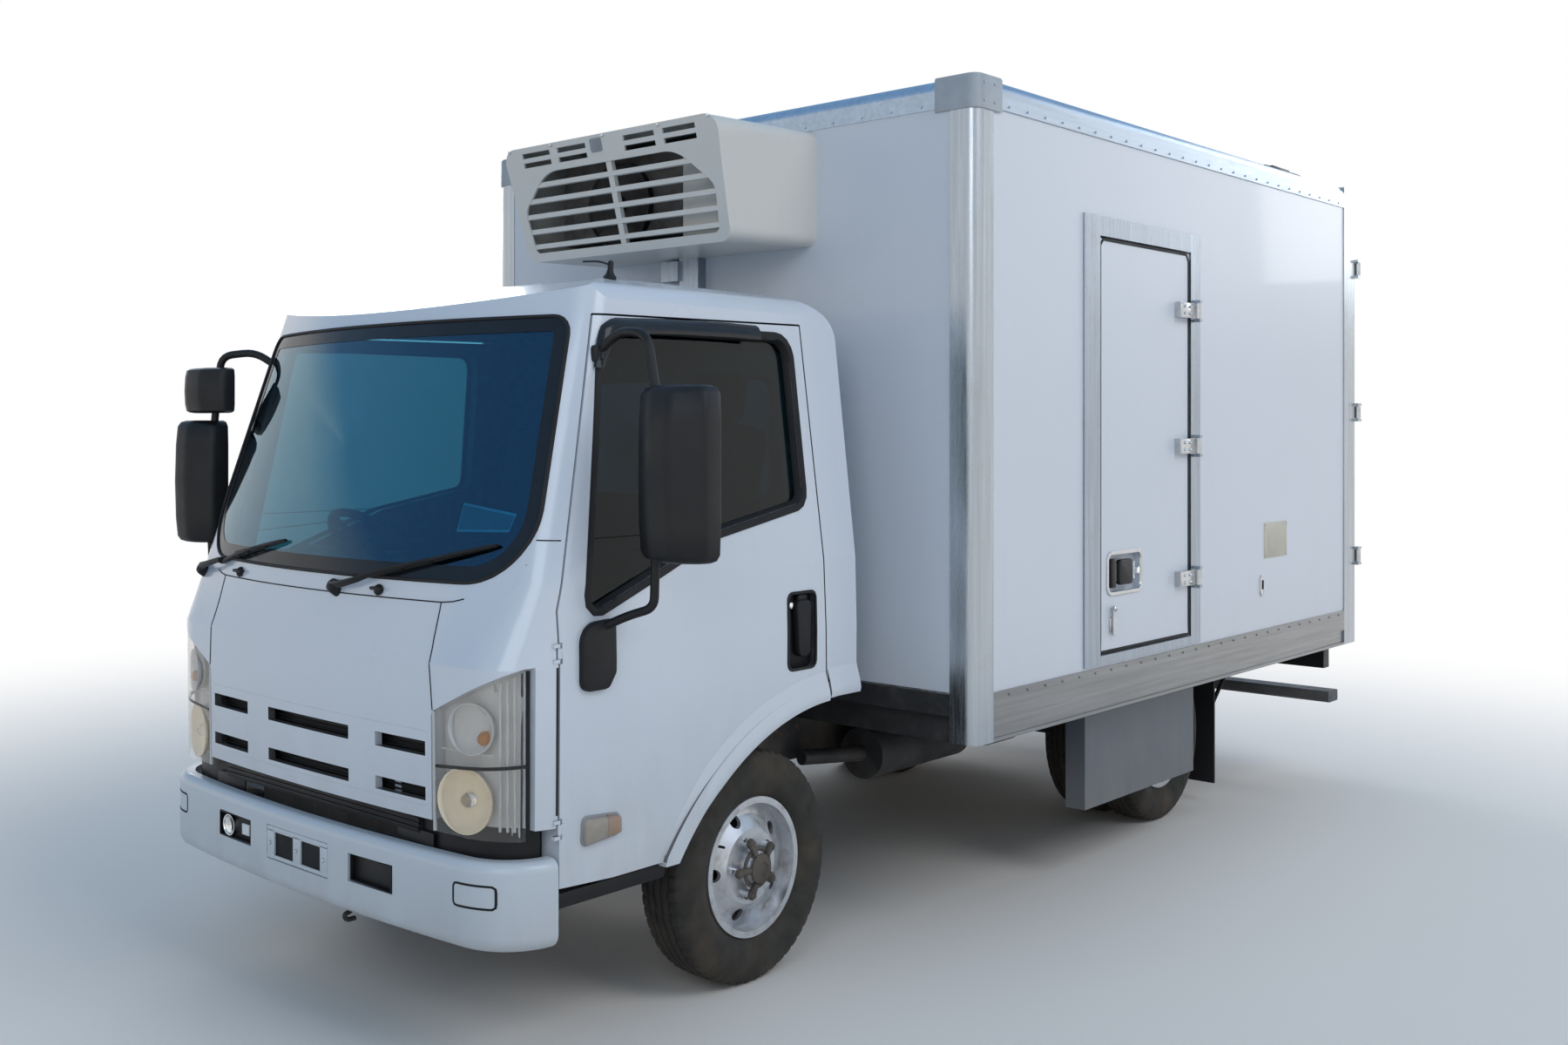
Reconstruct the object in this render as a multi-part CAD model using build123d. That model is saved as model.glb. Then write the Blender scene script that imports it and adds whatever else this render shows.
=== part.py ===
from build123d import *
import math
import os

os.makedirs("parts", exist_ok=True)

# Sizes in millimetres: X forward from the front axle, Y to the truck's left, Z up from the road
WHEELBASE = 2770
FRONT_OVERHANG = 1118
REAR_OVERHANG = 1430
OVERALL_LENGTH = FRONT_OVERHANG + WHEELBASE + REAR_OVERHANG
FRONT_AXLE_X = OVERALL_LENGTH / 2 - FRONT_OVERHANG
REAR_END = -WHEELBASE - REAR_OVERHANG

# Wheels
TYRE_R = 360
TYRE_HALF = 95
BEAD_R = 204
RIM_HALF = 76
RIM_WALL = 8
FLANGE_R = 216
FRONT_WHEEL_Y = 753
REAR_OUTER_Y = 773
DUAL_SPACING = 218
WHEEL_HOLES = 5
HAND_HOLE_R = 20
HAND_HOLE_PITCH_R = 152
NUT_R = 15
NUT_PITCH_R = 84
SPINDLE_R = 22
AXLE_STUB_R = 40
FIT = 1

# Steering
KINGPIN_Y = 620
KINGPIN_R = 15

# Ladder frame
FRAME_TOP = 670
FRAME_DEPTH = 170
FRAME_HALF = 350
FLANGE_WIDTH = 60
FRAME_PLATE = 8
FRAME_FRONT = 1006
FRAME_BACK = REAR_END + 150
CROSS_LENGTH = 60
CROSS_AT = (FRAME_FRONT - CROSS_LENGTH / 2, -1250, -WHEELBASE + 820, -WHEELBASE - 480, FRAME_BACK + 100)
FRAME_LOW = FRAME_TOP - FRAME_DEPTH
SPRING_Y = 320
SPRING_WIDTH = 64
SPRING_THICK = 50
SPRING_RISE = 40
TOW_BORE_R = 12
TOW_EYE_R = 24
TOW_EYE_Z = 310
TOW_EYE_WIDTH = 40
TOW_EYE_BACK = 40
HOOP_X = -394
HOOP_BAR = 44

# Guards and mudflaps
GUARD_LENGTH = 946
FLAP_CLEAR = 76

# Cab
CAB_BACK = -460
CAB_WALL = 55
DOOR_THICK = 70
SHUT_GAP = 6
DOOR_CLEAR = 10
CAB_BOTTOM = 655
FOOT_FLOOR = 745
SEAT_DECK = 1010
RISER_X = 300
FLOOR_PLATE = 45
DOOR_EDGE = 874
DOOR_PIN_X = 877
DOOR_PIN_Y = 883
DOOR_PIN_R = 3
DOOR_HINGES = (650, 1120)
DOOR_HINGE_HALF = 14
DOOR_NOTCH_R = 12
ARCH_START = (-295, 848)
ARCH_MIDDLE = (126, 726)
ARCH_END = (415, 466)
ARCH_LIP = 55
LIP_OUT = 894
HANDLE_X = (-240, -98)
HANDLE_Z = (962, 1204)
HANDLE_DEEP = 26
TILT_X = 1000
TILT_Z = 620
TILT_PIN_R = 15
TILT_BOSS_R = 28
MIRROR_OUT = 1235
MIRROR_ARM_R = 11
MIRROR_HEAD = (1362, 1838)
MIRROR_LOW_HEAD = (1310, 1752)
MIRROR_HIGH_HEAD = (1774, 1940)
MIRROR_FORWARD = 130
GLASS = 6
GLASS_IN = 24
SEAL = 0.3

# Each row: height, half width, nose, bow of the front, corner radius
CAB_SECTIONS = (
    (480, 880, 1078, 45, 190),
    (1080, 885, 1085, 45, 200),
    (1300, 880, 1068, 160, 135),
    (2230, 775, 760, 140, 95),
)

# Load box
BOX_FRONT = -697
BOX_LENGTH = 3440
BOX_REAR = BOX_FRONT - BOX_LENGTH
BOX_HALF = 1192
BOX_BOTTOM = 680
BOX_TOP = 2885
WALL = 75
SKIN_BACK = 5
FLOOR_TOP = 845
FLOOR_THICK = 80
RAIL_DEPTH = 42
TOP_RAIL = 100
POST = 102
PORTAL_DEPTH = 138
BEARER_AT = (-760, -1180, -1740, -2320, -3080, -3600, -3960)
BEARER_WIDTH = 50
BEARER_HALF = BOX_HALF - 107
WEAR_PLATE = 4
WEAR_GAP = 3
FLOOR_LOW = FLOOR_TOP - FLOOR_THICK

# Side door in the left wall
DOOR_FRONT = -1545
DOOR_REAR = -2290
DOOR_LOW = 895
DOOR_HIGH = 2420
FRAME_OUT_FRONT = -1418
FRAME_OUT_REAR = -2385
FRAME_OUT_LOW = 855
FRAME_OUT_HIGH = 2500
FRAME_STRIP = 7
LEAF_GAP = 8
SIDE_PIN_X = -2312
PIN_R = 8
BARREL_R = 14
PIN_STANDOFF = 30
HINGE_HALF = 30
SIDE_HINGES = (1125, 1651, 2192)

# Rear doors
REAR_HINGES = (1100, 1800, 2500)
REAR_PIN_Y = BOX_HALF + 4
REAR_BRACKET = 44
REAR_STRAP = 130
LEAF_SIDE_GAP = 7
REAR_LEAF = 80

# Refrigeration unit on the front wall
UNIT_FRONT = -150
UNIT_HALF = 538
UNIT_LOW_HALF = 497
UNIT_TOP = 2782
UNIT_BACK_LOW = 2370
UNIT_FRONT_LOW = 2352
UNIT_LEAN = 120
UNIT_SKIN = 8
SLOT_COLUMNS = (95, 285)
SLOT_ROWS = (2699, 2733)
SLOT_LENGTH = 150
SLOT_HIGH = 18
BAR_COUNT = 5
BAR_LOW = 2413
BAR_PITCH = 55
BAR_HIGH = 18
BAR_THICK = 20
BAR_DEEP = 4

# Front bumper
BUMPER_LOW = 335
BUMPER_TOP = 575
BUMPER_WALL = 45
BUMPER_END = 886
BUMPER_TOP_ROUND = 28
BUMPER_LOW_ROUND = 40
FOG_Y = (255, 450)
FOG_Z = (434, 514)
FOG_DEEP = 30
PLATE_HALF = 160
PLATE_Z = (420, 522)
PLATE_DEEP = 12


def block(x0, x1, y0, y1, z0, z1):
    centre = Pos((x0 + x1) / 2, (y0 + y1) / 2, (z0 + z1) / 2)
    return centre * Box(abs(x1 - x0), abs(y1 - y0), abs(z1 - z0))


def rod(start, end, radius):
    axis = Vector(*end) - Vector(*start)
    return Plane(start, z_dir=axis) * Cylinder(
        radius, axis.length, align=(Align.CENTER, Align.CENTER, Align.MIN)
    )


def both(shape):
    return shape + mirror(shape, about=Plane.XZ)


def rounded(corners):
    # Closed face through (u, v, radius) corners
    cuts = []
    count = len(corners)
    for i in range(count):
        u, v, radius = corners[i]
        here = Vector(u, v)
        before = (Vector(*corners[i - 1][:2]) - here).normalized()
        after = (Vector(*corners[(i + 1) % count][:2]) - here).normalized()
        if radius == 0:
            cuts.append((here, None, here))
            continue
        half = math.radians(before.get_angle(after)) / 2
        run = radius / math.tan(half)
        deep = radius / math.sin(half) - radius
        middle = here + (before + after).normalized() * deep
        cuts.append((here + before * run, middle, here + after * run))
    edges = []
    for i in range(count):
        first, middle, last = cuts[i]
        if middle is not None:
            edges.append(ThreePointArc(first, middle, last))
        edges.append(Line(last, cuts[(i + 1) % count][0]))
    return make_face(edges)


def along_y(face, y0, y1):
    return extrude(Plane((0, y1, 0), x_dir=(1, 0, 0), z_dir=(0, -1, 0)) * face, y1 - y0)


def along_x(face, x0, x1):
    return extrude(Plane((x0, 0, 0), x_dir=(0, 1, 0), z_dir=(1, 0, 0)) * face, x1 - x0)


def spun(points):
    # Solid spun about the Y axis from (radius, y) corners
    return revolve(make_face(Polyline(*points, close=True)), Axis.Y)


def tyre():
    tread, shoulder = TYRE_R - 4, TYRE_R - 22
    edges = [
        Line((BEAD_R, -64), (BEAD_R, 64)),
        Line((BEAD_R, 64), (218, 66)),
        ThreePointArc((218, 66), (282, TYRE_HALF), (shoulder, 82)),
        Line((shoulder, 82), (tread, 68)),
        ThreePointArc((tread, 68), (TYRE_R, 0), (tread, -68)),
        Line((tread, -68), (shoulder, -82)),
        ThreePointArc((shoulder, -82), (282, -TYRE_HALF), (218, -66)),
        Line((218, -66), (BEAD_R, -64)),
    ]
    return revolve(make_face(edges), Axis.Y)


def barrel():
    inner = BEAD_R - RIM_WALL
    return spun(
        (
            (inner, -RIM_HALF),
            (FLANGE_R, -RIM_HALF),
            (FLANGE_R, -68),
            (BEAD_R, -68),
            (BEAD_R, 68),
            (FLANGE_R, 68),
            (FLANGE_R, RIM_HALF),
            (inner, RIM_HALF),
        )
    )


def ring_of(shape, pitch):
    return [Rot(0, i * 360 / WHEEL_HOLES + 20, 0) * Pos(0, 0, pitch) * shape for i in range(WHEEL_HOLES)]


def post_y(radius, y0, y1):
    return rod((0, y0, 0), (0, y1, 0), radius)


def front_rim():
    inner = BEAD_R - RIM_WALL
    disc = spun(((inner, 14), (inner, 26), (158, 38), (116, 62), (50, 62), (50, 52), (112, 52), (150, 28)))
    hub = post_y(58, -34, 88) + post_y(44, 80, 104)
    wheel = barrel() + disc
    for hole in ring_of(post_y(HAND_HOLE_R, 0, 80), HAND_HOLE_PITCH_R):
        wheel -= hole
    wheel += hub
    for nut in ring_of(post_y(NUT_R, 56, 80), NUT_PITCH_R):
        wheel += nut
    return wheel - post_y(SPINDLE_R + FIT, -40, 70)


def rear_rims():
    inner = BEAD_R - RIM_WALL
    plate = DUAL_SPACING / 2
    disc = spun(
        (
            (inner, -70),
            (inner, -56),
            (150, -plate + 24),
            (128, -plate + 10),
            (60, -plate + 10),
            (60, -plate),
            (134, -plate),
            (158, -plate + 14),
        )
    )
    outer = barrel() + disc
    for hole in ring_of(post_y(HAND_HOLE_R, -plate - 20, -40), HAND_HOLE_PITCH_R + 8):
        outer -= hole
    pair = Pos(0, REAR_OUTER_Y, 0) * outer
    pair += Pos(0, REAR_OUTER_Y - DUAL_SPACING, 0) * mirror(outer, about=Plane.XZ)
    middle = REAR_OUTER_Y - plate
    pair += post_y(96, middle + 4, middle + 40) + post_y(70, middle - 150, middle + 96)
    for nut in ring_of(post_y(NUT_R, middle + 6, middle + 28), NUT_PITCH_R + 30):
        pair += nut
    return pair - post_y(AXLE_STUB_R + FIT, middle - 160, middle + 80)


def wheels(parts):
    front = Pos(0, FRONT_WHEEL_Y, TYRE_R)
    rear = Pos(-WHEELBASE, 0, TYRE_R)
    parts["rim_front_left"] = front * front_rim()
    parts["tyre_front_left"] = front * tyre()
    parts["rims_rear_left"] = rear * rear_rims()
    for name in ("rim_front", "tyre_front", "rims_rear"):
        parts[name + "_right"] = mirror(parts[name + "_left"], about=Plane.XZ)
    for name, side in (("tyres_rear_left", 1), ("tyres_rear_right", -1)):
        places = (side * REAR_OUTER_Y, side * (REAR_OUTER_Y - DUAL_SPACING))
        parts[name] = rear * (Pos(0, places[0], 0) * tyre() + Pos(0, places[1], 0) * tyre())


def knuckle():
    z = TYRE_R
    ear_low, ear_high, ear = z - 105, z + 105, 33
    body = block(-36, 36, 588, 700, ear_high - ear, ear_high)
    body += block(-36, 36, 588, 700, ear_low, ear_low + ear)
    body += block(-45, 45, 664, 700, ear_low, ear_high)
    body += rod((0, KINGPIN_Y, ear_low), (0, KINGPIN_Y, ear_high + 8), KINGPIN_R)
    body += rod((0, 690, z), (0, 702, z), 150)
    body += rod((0, 690, z), (0, FRONT_WHEEL_Y + 66, z), SPINDLE_R)
    body += block(-170, 0, 592, 634, ear_low, ear_low + 26)
    return body


def leaf_pack(x, low, half_length):
    # Leaf spring pack seated at its middle, its ends bent up to the frame
    end = low + SPRING_RISE
    face = make_face(
        [
            ThreePointArc((x - half_length, end), (x, low), (x + half_length, end)),
            Line((x + half_length, end), (x + half_length, end + SPRING_THICK * 0.5)),
            Line((x + half_length, end + SPRING_THICK * 0.5), (x + 160, low + SPRING_THICK)),
            Line((x + 160, low + SPRING_THICK), (x - 160, low + SPRING_THICK)),
            Line((x - 160, low + SPRING_THICK), (x - half_length, end + SPRING_THICK * 0.5)),
            Line((x - half_length, end + SPRING_THICK * 0.5), (x - half_length, end)),
        ]
    )
    pack = along_y(face, SPRING_Y - SPRING_WIDTH / 2, SPRING_Y + SPRING_WIDTH / 2)
    for side in (-1, 1):
        eye = x + side * half_length
        pack += block(eye - 30, eye + 30, SPRING_Y - 24, SPRING_Y + 24, end, FRAME_LOW)
    return pack


def axles(parts):
    z = TYRE_R
    beam_top = z + 36
    beam = block(-35, 35, -590, 590, z - 60, beam_top)
    beam -= both(block(-50, -12, 60, 560, z - 42, beam_top - 18))
    beam -= both(block(12, 50, 60, 560, z - 42, beam_top - 18))
    ends = rod((0, KINGPIN_Y, z - 66), (0, KINGPIN_Y, z + 66), 32)
    ends -= rod((0, KINGPIN_Y, z - 90), (0, KINGPIN_Y, z + 90), KINGPIN_R + FIT)
    ends += block(-32, 32, 560, 598, z - 60, beam_top)
    ends -= rod((0, KINGPIN_Y, z - 90), (0, KINGPIN_Y, z + 90), KINGPIN_R + FIT)
    pads = both(block(-50, 50, SPRING_Y - 40, SPRING_Y + 40, beam_top - 10, beam_top + 8))
    parts["front_axle"] = beam + both(ends) + pads + both(leaf_pack(0, beam_top, 560))

    x = -WHEELBASE
    tube = rod((x, -430, z), (x, 430, z), 56)
    stubs = both(rod((x, 420, z), (x, REAR_OUTER_Y - 40, z), AXLE_STUB_R))
    bowl = rod((x - 90, 0, z), (x + 110, 0, z), 140)
    seats = both(block(x - 50, x + 50, SPRING_Y - 40, SPRING_Y + 40, z, z + 60))
    shaft = rod((x + 100, 0, z + 20), (-1136, 0, z + 100), 35)
    axle = tube + stubs + bowl + seats + both(leaf_pack(x, z + 58, 600)) + shaft
    parts["rear_axle"] = axle


def ladder_frame(parts):
    low = FRAME_LOW
    inner = FRAME_HALF - FLANGE_WIDTH
    web = FRAME_HALF - FRAME_PLATE
    rail = block(FRAME_BACK, FRAME_FRONT, inner, FRAME_HALF, low, FRAME_TOP)
    rail -= block(FRAME_BACK - 5, FRAME_FRONT + 5, inner - 5, web, low + FRAME_PLATE, FRAME_TOP - FRAME_PLATE)
    rail += rod((TILT_X, web, TILT_Z), (TILT_X, FRAME_HALF, TILT_Z), TILT_BOSS_R)
    rail += rod((TILT_X, web + 4, TILT_Z), (TILT_X, FRAME_HALF + 62, TILT_Z), TILT_PIN_R)
    eye_x, eye_y = FRAME_FRONT - TOW_EYE_BACK, web - TOW_EYE_WIDTH
    rail += block(eye_x - TOW_EYE_R, eye_x + TOW_EYE_R, eye_y, web, TOW_EYE_Z, low + 4)
    rail += rod((eye_x, eye_y, TOW_EYE_Z), (eye_x, web, TOW_EYE_Z), TOW_EYE_R)
    rail -= rod((eye_x, eye_y - 10, TOW_EYE_Z), (eye_x, web + 10, TOW_EYE_Z), TOW_BORE_R)
    parts["ladder_frame"] = both(rail)
    half = CROSS_LENGTH / 2
    members = [block(x - half, x + half, -web, web, low + 30, FRAME_TOP - 30) for x in CROSS_AT]
    parts["cross_members"] = Compound(members)
    top = SEAT_DECK - FLOOR_PLATE - 6
    leg = block(HOOP_X, HOOP_X + HOOP_BAR, inner + 10, web - 2, FRAME_TOP, top)
    parts["cab_hoop"] = both(leg) + block(HOOP_X, HOOP_X + HOOP_BAR, 2 - web, web - 2, top - HOOP_BAR, top)


def drive_line(parts):
    engine = block(-385, 220, -270, 270, 470, 895)
    engine = fillet(engine.edges().filter_by(Axis.X), 40)
    gearbox = block(-1130, -360, -170, 170, 420, 650)
    gearbox = fillet(gearbox.edges().filter_by(Axis.X), 50)
    web = FRAME_HALF - FRAME_PLATE
    feet = both(block(-60, 20, 262, web, 560, 600)) + both(block(-1020, -960, 160, web, 560, 600))
    parts["engine_gearbox"] = engine + gearbox + feet
    tank = block(-1640, -1000, -830, -FRAME_HALF, 370, 640)
    tank = fillet(tank.edges().filter_by(Axis.X), 45)
    cap = rod((-1200, -800, 560), (-1200, -862, 582), 32)
    parts["fuel_tank"] = tank + cap
    silencer = rod((-1650, 480, 500), (-1050, 480, 500), 95)
    pipe = rod((-1050, 480, 500), (-760, 420, 520), 28)
    tail = rod((-1650, 480, 500), (-WHEELBASE + 510, 400, 480), 26)
    stays = block(-1560, -1530, FRAME_HALF, 480, 585, 615) + block(-1190, -1160, FRAME_HALF, 480, 585, 615)
    parts["exhaust"] = silencer + pipe + tail + stays


def cab_plan(section, inset):
    z, half, nose, bow, corner = section
    half -= inset
    nose -= inset
    back = CAB_BACK - 500
    edge = nose - bow
    face = make_face(
        [
            Line((back, half), (edge, half)),
            ThreePointArc((edge, half), (nose, 0), (edge, -half)),
            Line((edge, -half), (back, -half)),
            Line((back, -half), (back, half)),
        ]
    )
    face = fillet(face.vertices().sort_by(Axis.X)[-2:], corner - inset)
    return Pos(0, 0, z) * face


def cab_form(inset):
    # Cab body drawn in by the inset on every side
    body = loft([cab_plan(section, inset) for section in CAB_SECTIONS], ruled=True)
    side = rounded(
        (
            (CAB_BACK + inset, 300, 0),
            (CAB_BACK + inset + 5, 2050 - inset, 90),
            (CAB_BACK + inset + 120, 2150 - inset, 220),
            (500 - inset, 2172 - inset, 500),
            (830 - inset, 2075 - inset, 60),
            (1300, 1960 - inset, 0),
            (1300, 300, 0),
        )
    )
    ends = rounded(
        (
            (890, 300, 0),
            (890, 1300 - inset, 0),
            (790 - inset, 2125 - inset, 95),
            (640 - inset, 2172 - inset, 300),
            (-640 + inset, 2172 - inset, 300),
            (-790 + inset, 2125 - inset, 95),
            (-890, 1300 - inset, 0),
            (-890, 300, 0),
        )
    )
    return body & along_y(side, -1000, 1000) & along_x(ends, -900, 1300)


def side_slab(depth, thick):
    # Upright layer of the left side, its inner face set in by the depth
    belt, roof = CAB_SECTIONS[2], CAB_SECTIONS[3]
    lean = (belt[1] - roof[1]) / (roof[0] - belt[0])
    low, high = belt[1] - depth, belt[1] - depth - lean * (2100 - belt[0])
    inner = ((low, 300), (low, belt[0]), (high, 2100))
    outer = ((high + thick, 2100), (low + thick, belt[0]), (low + thick, 300))
    return along_x(make_face(Polyline(*inner, *outer, close=True)), -600, 1300)


def arch_curve():
    return ThreePointArc(ARCH_START, ARCH_MIDDLE, ARCH_END)


def arch_lip():
    # Raised lip round the wheel arch, proud of the door skin
    arch = arch_curve()
    wide = offset(make_face([arch, Line(ARCH_END, ARCH_START)]), ARCH_LIP)
    corner = (ARCH_START[0], ARCH_END[1])
    under = make_face([arch, Line(ARCH_END, corner), Line(corner, ARCH_START)])
    lip = along_y(wide - under, DOOR_PIN_Y - 20, LIP_OUT)
    keep = block(ARCH_START[0], ARCH_END[0] + ARCH_LIP, 0, LIP_OUT, ARCH_END[1] + 2, ARCH_START[1] + ARCH_LIP)
    return lip & keep


def door_outline():
    arch = arch_curve()
    return make_face(
        [
            arch,
            Line(ARCH_END, (DOOR_EDGE, 491)),
            Line((DOOR_EDGE, 491), (DOOR_EDGE, 1230)),
            Line((DOOR_EDGE, 1230), (655, 2040)),
            Line((655, 2040), (-265, 2052)),
            Line((-265, 2052), ARCH_START),
        ]
    )


def door_window():
    return rounded(
        (
            (768, 1212, 30),
            (628, 2004, 50),
            (-198, 2004, 60),
            (-204, 1488, 40),
            (223, 1414, 150),
        )
    )


def screen_outline():
    return rounded(((-825, 1298, 185), (825, 1298, 185), (741, 2040, 60), (-741, 2040, 60)))


def rear_window():
    return rounded(((-560, 1480, 60), (560, 1480, 60), (560, 1890, 60), (-560, 1890, 60)))


def lamp_outline():
    return rounded(((572, 625, 20), (1000, 610, 0), (1000, 1110, 0), (850, 1085, 20), (572, 950, 25)))


def grille_outline():
    return rounded(((-560, 690, 15), (560, 690, 15), (560, 895, 15), (-560, 895, 15)))


LAMP_BACK = 945
GRILLE_THICK = 24
LAMP_THICK = 40
# Each row: left edge, right edge, low edge, high edge of a slot
GRILLE_SLOTS = (
    (-548, -333, 704, 741),
    (-210, 210, 704, 741),
    (333, 548, 704, 741),
    (-548, -333, 826, 866),
    (-210, 210, 826, 866),
    (333, 548, 826, 866),
)


def cab(parts):
    outer = cab_form(0)
    walls = cab_form(CAB_WALL)
    above = make_face(
        Polyline(
            (-900, SEAT_DECK),
            (RISER_X, SEAT_DECK),
            (RISER_X, FOOT_FLOOR),
            (1300, FOOT_FLOOR),
            (1300, 2400),
            (-900, 2400),
            close=True,
        )
    )
    below = make_face(
        Polyline(
            (-900, 300),
            (-900, SEAT_DECK - FLOOR_PLATE),
            (RISER_X - FLOOR_PLATE, SEAT_DECK - FLOOR_PLATE),
            (RISER_X - FLOOR_PLATE, FOOT_FLOOR - FLOOR_PLATE),
            (1300, FOOT_FLOOR - FLOOR_PLATE),
            (1300, 300),
            close=True,
        )
    )
    shell = outer - (walls & along_y(above, -950, 950)) - (walls & along_y(below, -950, 950))
    shell -= block(-600, 1300, -1000, 1000, 300, CAB_BOTTOM)
    under_arch = make_face(
        [
            arch_curve(),
            Line(ARCH_END, (ARCH_END[0], 300)),
            Line((ARCH_END[0], 300), (-600, 300)),
            Line((-600, 300), (-600, 858)),
            Line((-600, 858), (CAB_BACK, 858)),
            Line((CAB_BACK, 858), ARCH_START),
        ]
    )
    shell -= along_y(under_arch, -1000, 1000)
    doorway = along_y(offset(door_outline(), SHUT_GAP), 300, 1000) & side_slab(DOOR_THICK + DOOR_CLEAR, 600)
    shell -= both(doorway)
    shell -= along_x(screen_outline(), 350, 1300)
    shell -= along_x(rear_window(), -600, -300)
    shell -= along_x(grille_outline(), 900, 1300)
    lamp_hole = along_x(lamp_outline(), LAMP_BACK, 1300)
    shell -= both(lamp_hole)
    step = block(430, 840, 600, 790, 500, 530) + block(430, 840, 600, 620, 500, FOOT_FLOOR - 20)
    lug = block(TILT_X - 28, TILT_X + 28, FRAME_HALF + 14, FRAME_HALF + 42, TILT_Z, FOOT_FLOOR - 20)
    lug += rod((TILT_X, FRAME_HALF + 14, TILT_Z), (TILT_X, FRAME_HALF + 42, TILT_Z), 28)
    lug -= rod((TILT_X, FRAME_HALF, TILT_Z), (TILT_X, FRAME_HALF + 60, TILT_Z), TILT_PIN_R + FIT)
    shell += both(step) + both(lug)
    for z in DOOR_HINGES:
        low, high = z - DOOR_HINGE_HALF, z + DOOR_HINGE_HALF
        pin = rod((DOOR_PIN_X, DOOR_PIN_Y, low - 12), (DOOR_PIN_X, DOOR_PIN_Y, high + 12), DOOR_PIN_R)
        for foot in (low - 12, high + 2):
            pin += block(DOOR_PIN_X, DOOR_PIN_X + 20, DOOR_PIN_Y - 10, DOOR_PIN_Y + 3, foot, foot + 10)
        pocket = rod((DOOR_PIN_X, DOOR_PIN_Y, low - 1), (DOOR_PIN_X, DOOR_PIN_Y, high + 1), DOOR_PIN_R + 6)
        shell = shell - both(pocket) + both(pin)
    lip = block(CAB_BACK, ARCH_START[0] - SHUT_GAP, DOOR_PIN_Y - 20, LIP_OUT, 858, 858 + ARCH_LIP)
    shell += both(lip)
    parts["cab_shell"] = shell

    grille = (outer - cab_form(GRILLE_THICK)) & along_x(offset(grille_outline(), -SEAL), 900, 1300)
    for y0, y1, z0, z1 in GRILLE_SLOTS:
        grille -= block(900, 1300, y0, y1, z0, z1)
    parts["grille_panel"] = grille
    lamps = (outer - cab_form(LAMP_THICK)) & along_x(offset(lamp_outline(), -SEAL), LAMP_BACK + SEAL, 1300)
    parts["headlamps"] = both(lamps)

    screen = (cab_form(2) - cab_form(2 + GLASS)) & along_x(offset(screen_outline(), -SEAL), 350, 1300)
    pane = (cab_form(20) - cab_form(20 + GLASS)) & along_x(offset(rear_window(), -SEAL), -600, -300)
    parts["cab_glass"] = screen + pane

    door = outer & (along_y(door_outline(), 300, 1000) & side_slab(DOOR_THICK, 600))
    window = along_y(door_window(), 300, 1000)
    door -= window
    door += arch_lip()
    handle = block(*HANDLE_X, DOOR_PIN_Y - HANDLE_DEEP, DOOR_PIN_Y + 20, *HANDLE_Z)
    door -= fillet(handle.edges().filter_by(Axis.Y), 22)
    for z in DOOR_HINGES:
        low, high = z - DOOR_HINGE_HALF, z + DOOR_HINGE_HALF
        door -= rod((DOOR_PIN_X, DOOR_PIN_Y, low - 14), (DOOR_PIN_X, DOOR_PIN_Y, high + 14), DOOR_NOTCH_R)
        door += block(DOOR_EDGE - DOOR_NOTCH_R - 6, DOOR_PIN_X, DOOR_PIN_Y - 8, DOOR_PIN_Y, low, high)
        door += rod((DOOR_PIN_X, DOOR_PIN_Y, low), (DOOR_PIN_X, DOOR_PIN_Y, high), DOOR_PIN_R + 2.5)
        door -= rod((DOOR_PIN_X, DOOR_PIN_Y, low - 6), (DOOR_PIN_X, DOOR_PIN_Y, high + 6), DOOR_PIN_R + 0.4)
    glass = along_y(offset(door_window(), -SEAL), 300, 1000) & side_slab(GLASS_IN + GLASS, GLASS)
    parts["door_left"] = door
    parts["door_left_glass"] = glass
    parts["mirror_left"] = mirror_arm(0, MIRROR_HEAD) - outer
    driver = mirror_arm(MIRROR_FORWARD, MIRROR_LOW_HEAD) + upper_mirror() - outer
    parts["mirror_right"] = mirror(driver, about=Plane.XZ)
    for name in ("door", "door_glass"):
        words = name.split("_")
        left = "_".join([words[0], "left"] + words[1:])
        right = "_".join([words[0], "right"] + words[1:])
        parts[right] = mirror(parts[left], about=Plane.XZ)


def mirror_arm(forward, heights):
    # Base plate on the door skin, two arms and the housing, which may stand further forward
    base = block(672, 806, 884, 906, 1005, 1200)
    base = fillet(base.edges().filter_by(Axis.Y), 30)
    head = block(615 + forward, 748 + forward, 988, MIRROR_OUT, *heights)
    head = fillet(head.edges(), 34)
    low, high = heights
    made = base + head
    low_path = ((715, 893, 1188), (662 + forward, 1028, 1232), (665 + forward, 1036, low + 20))
    high_path = (
        (655, 795, 1930),
        (645 + forward / 2, 880, 1992),
        (650 + forward, 990, 1980),
        (655 + forward, 1030, high - 20),
    )
    for path in (low_path, high_path):
        for first, last in zip(path, path[1:]):
            made += rod(first, last, MIRROR_ARM_R)
        for bend in path[1:-1]:
            made += Pos(*bend) * Sphere(MIRROR_ARM_R)
    return made


def upper_mirror():
    # Second, wide-angle housing above the driver's own mirror
    head = block(630 + MIRROR_FORWARD, 735 + MIRROR_FORWARD, 920, 1185, *MIRROR_HIGH_HEAD)
    return fillet(head.edges(), 30)


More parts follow.
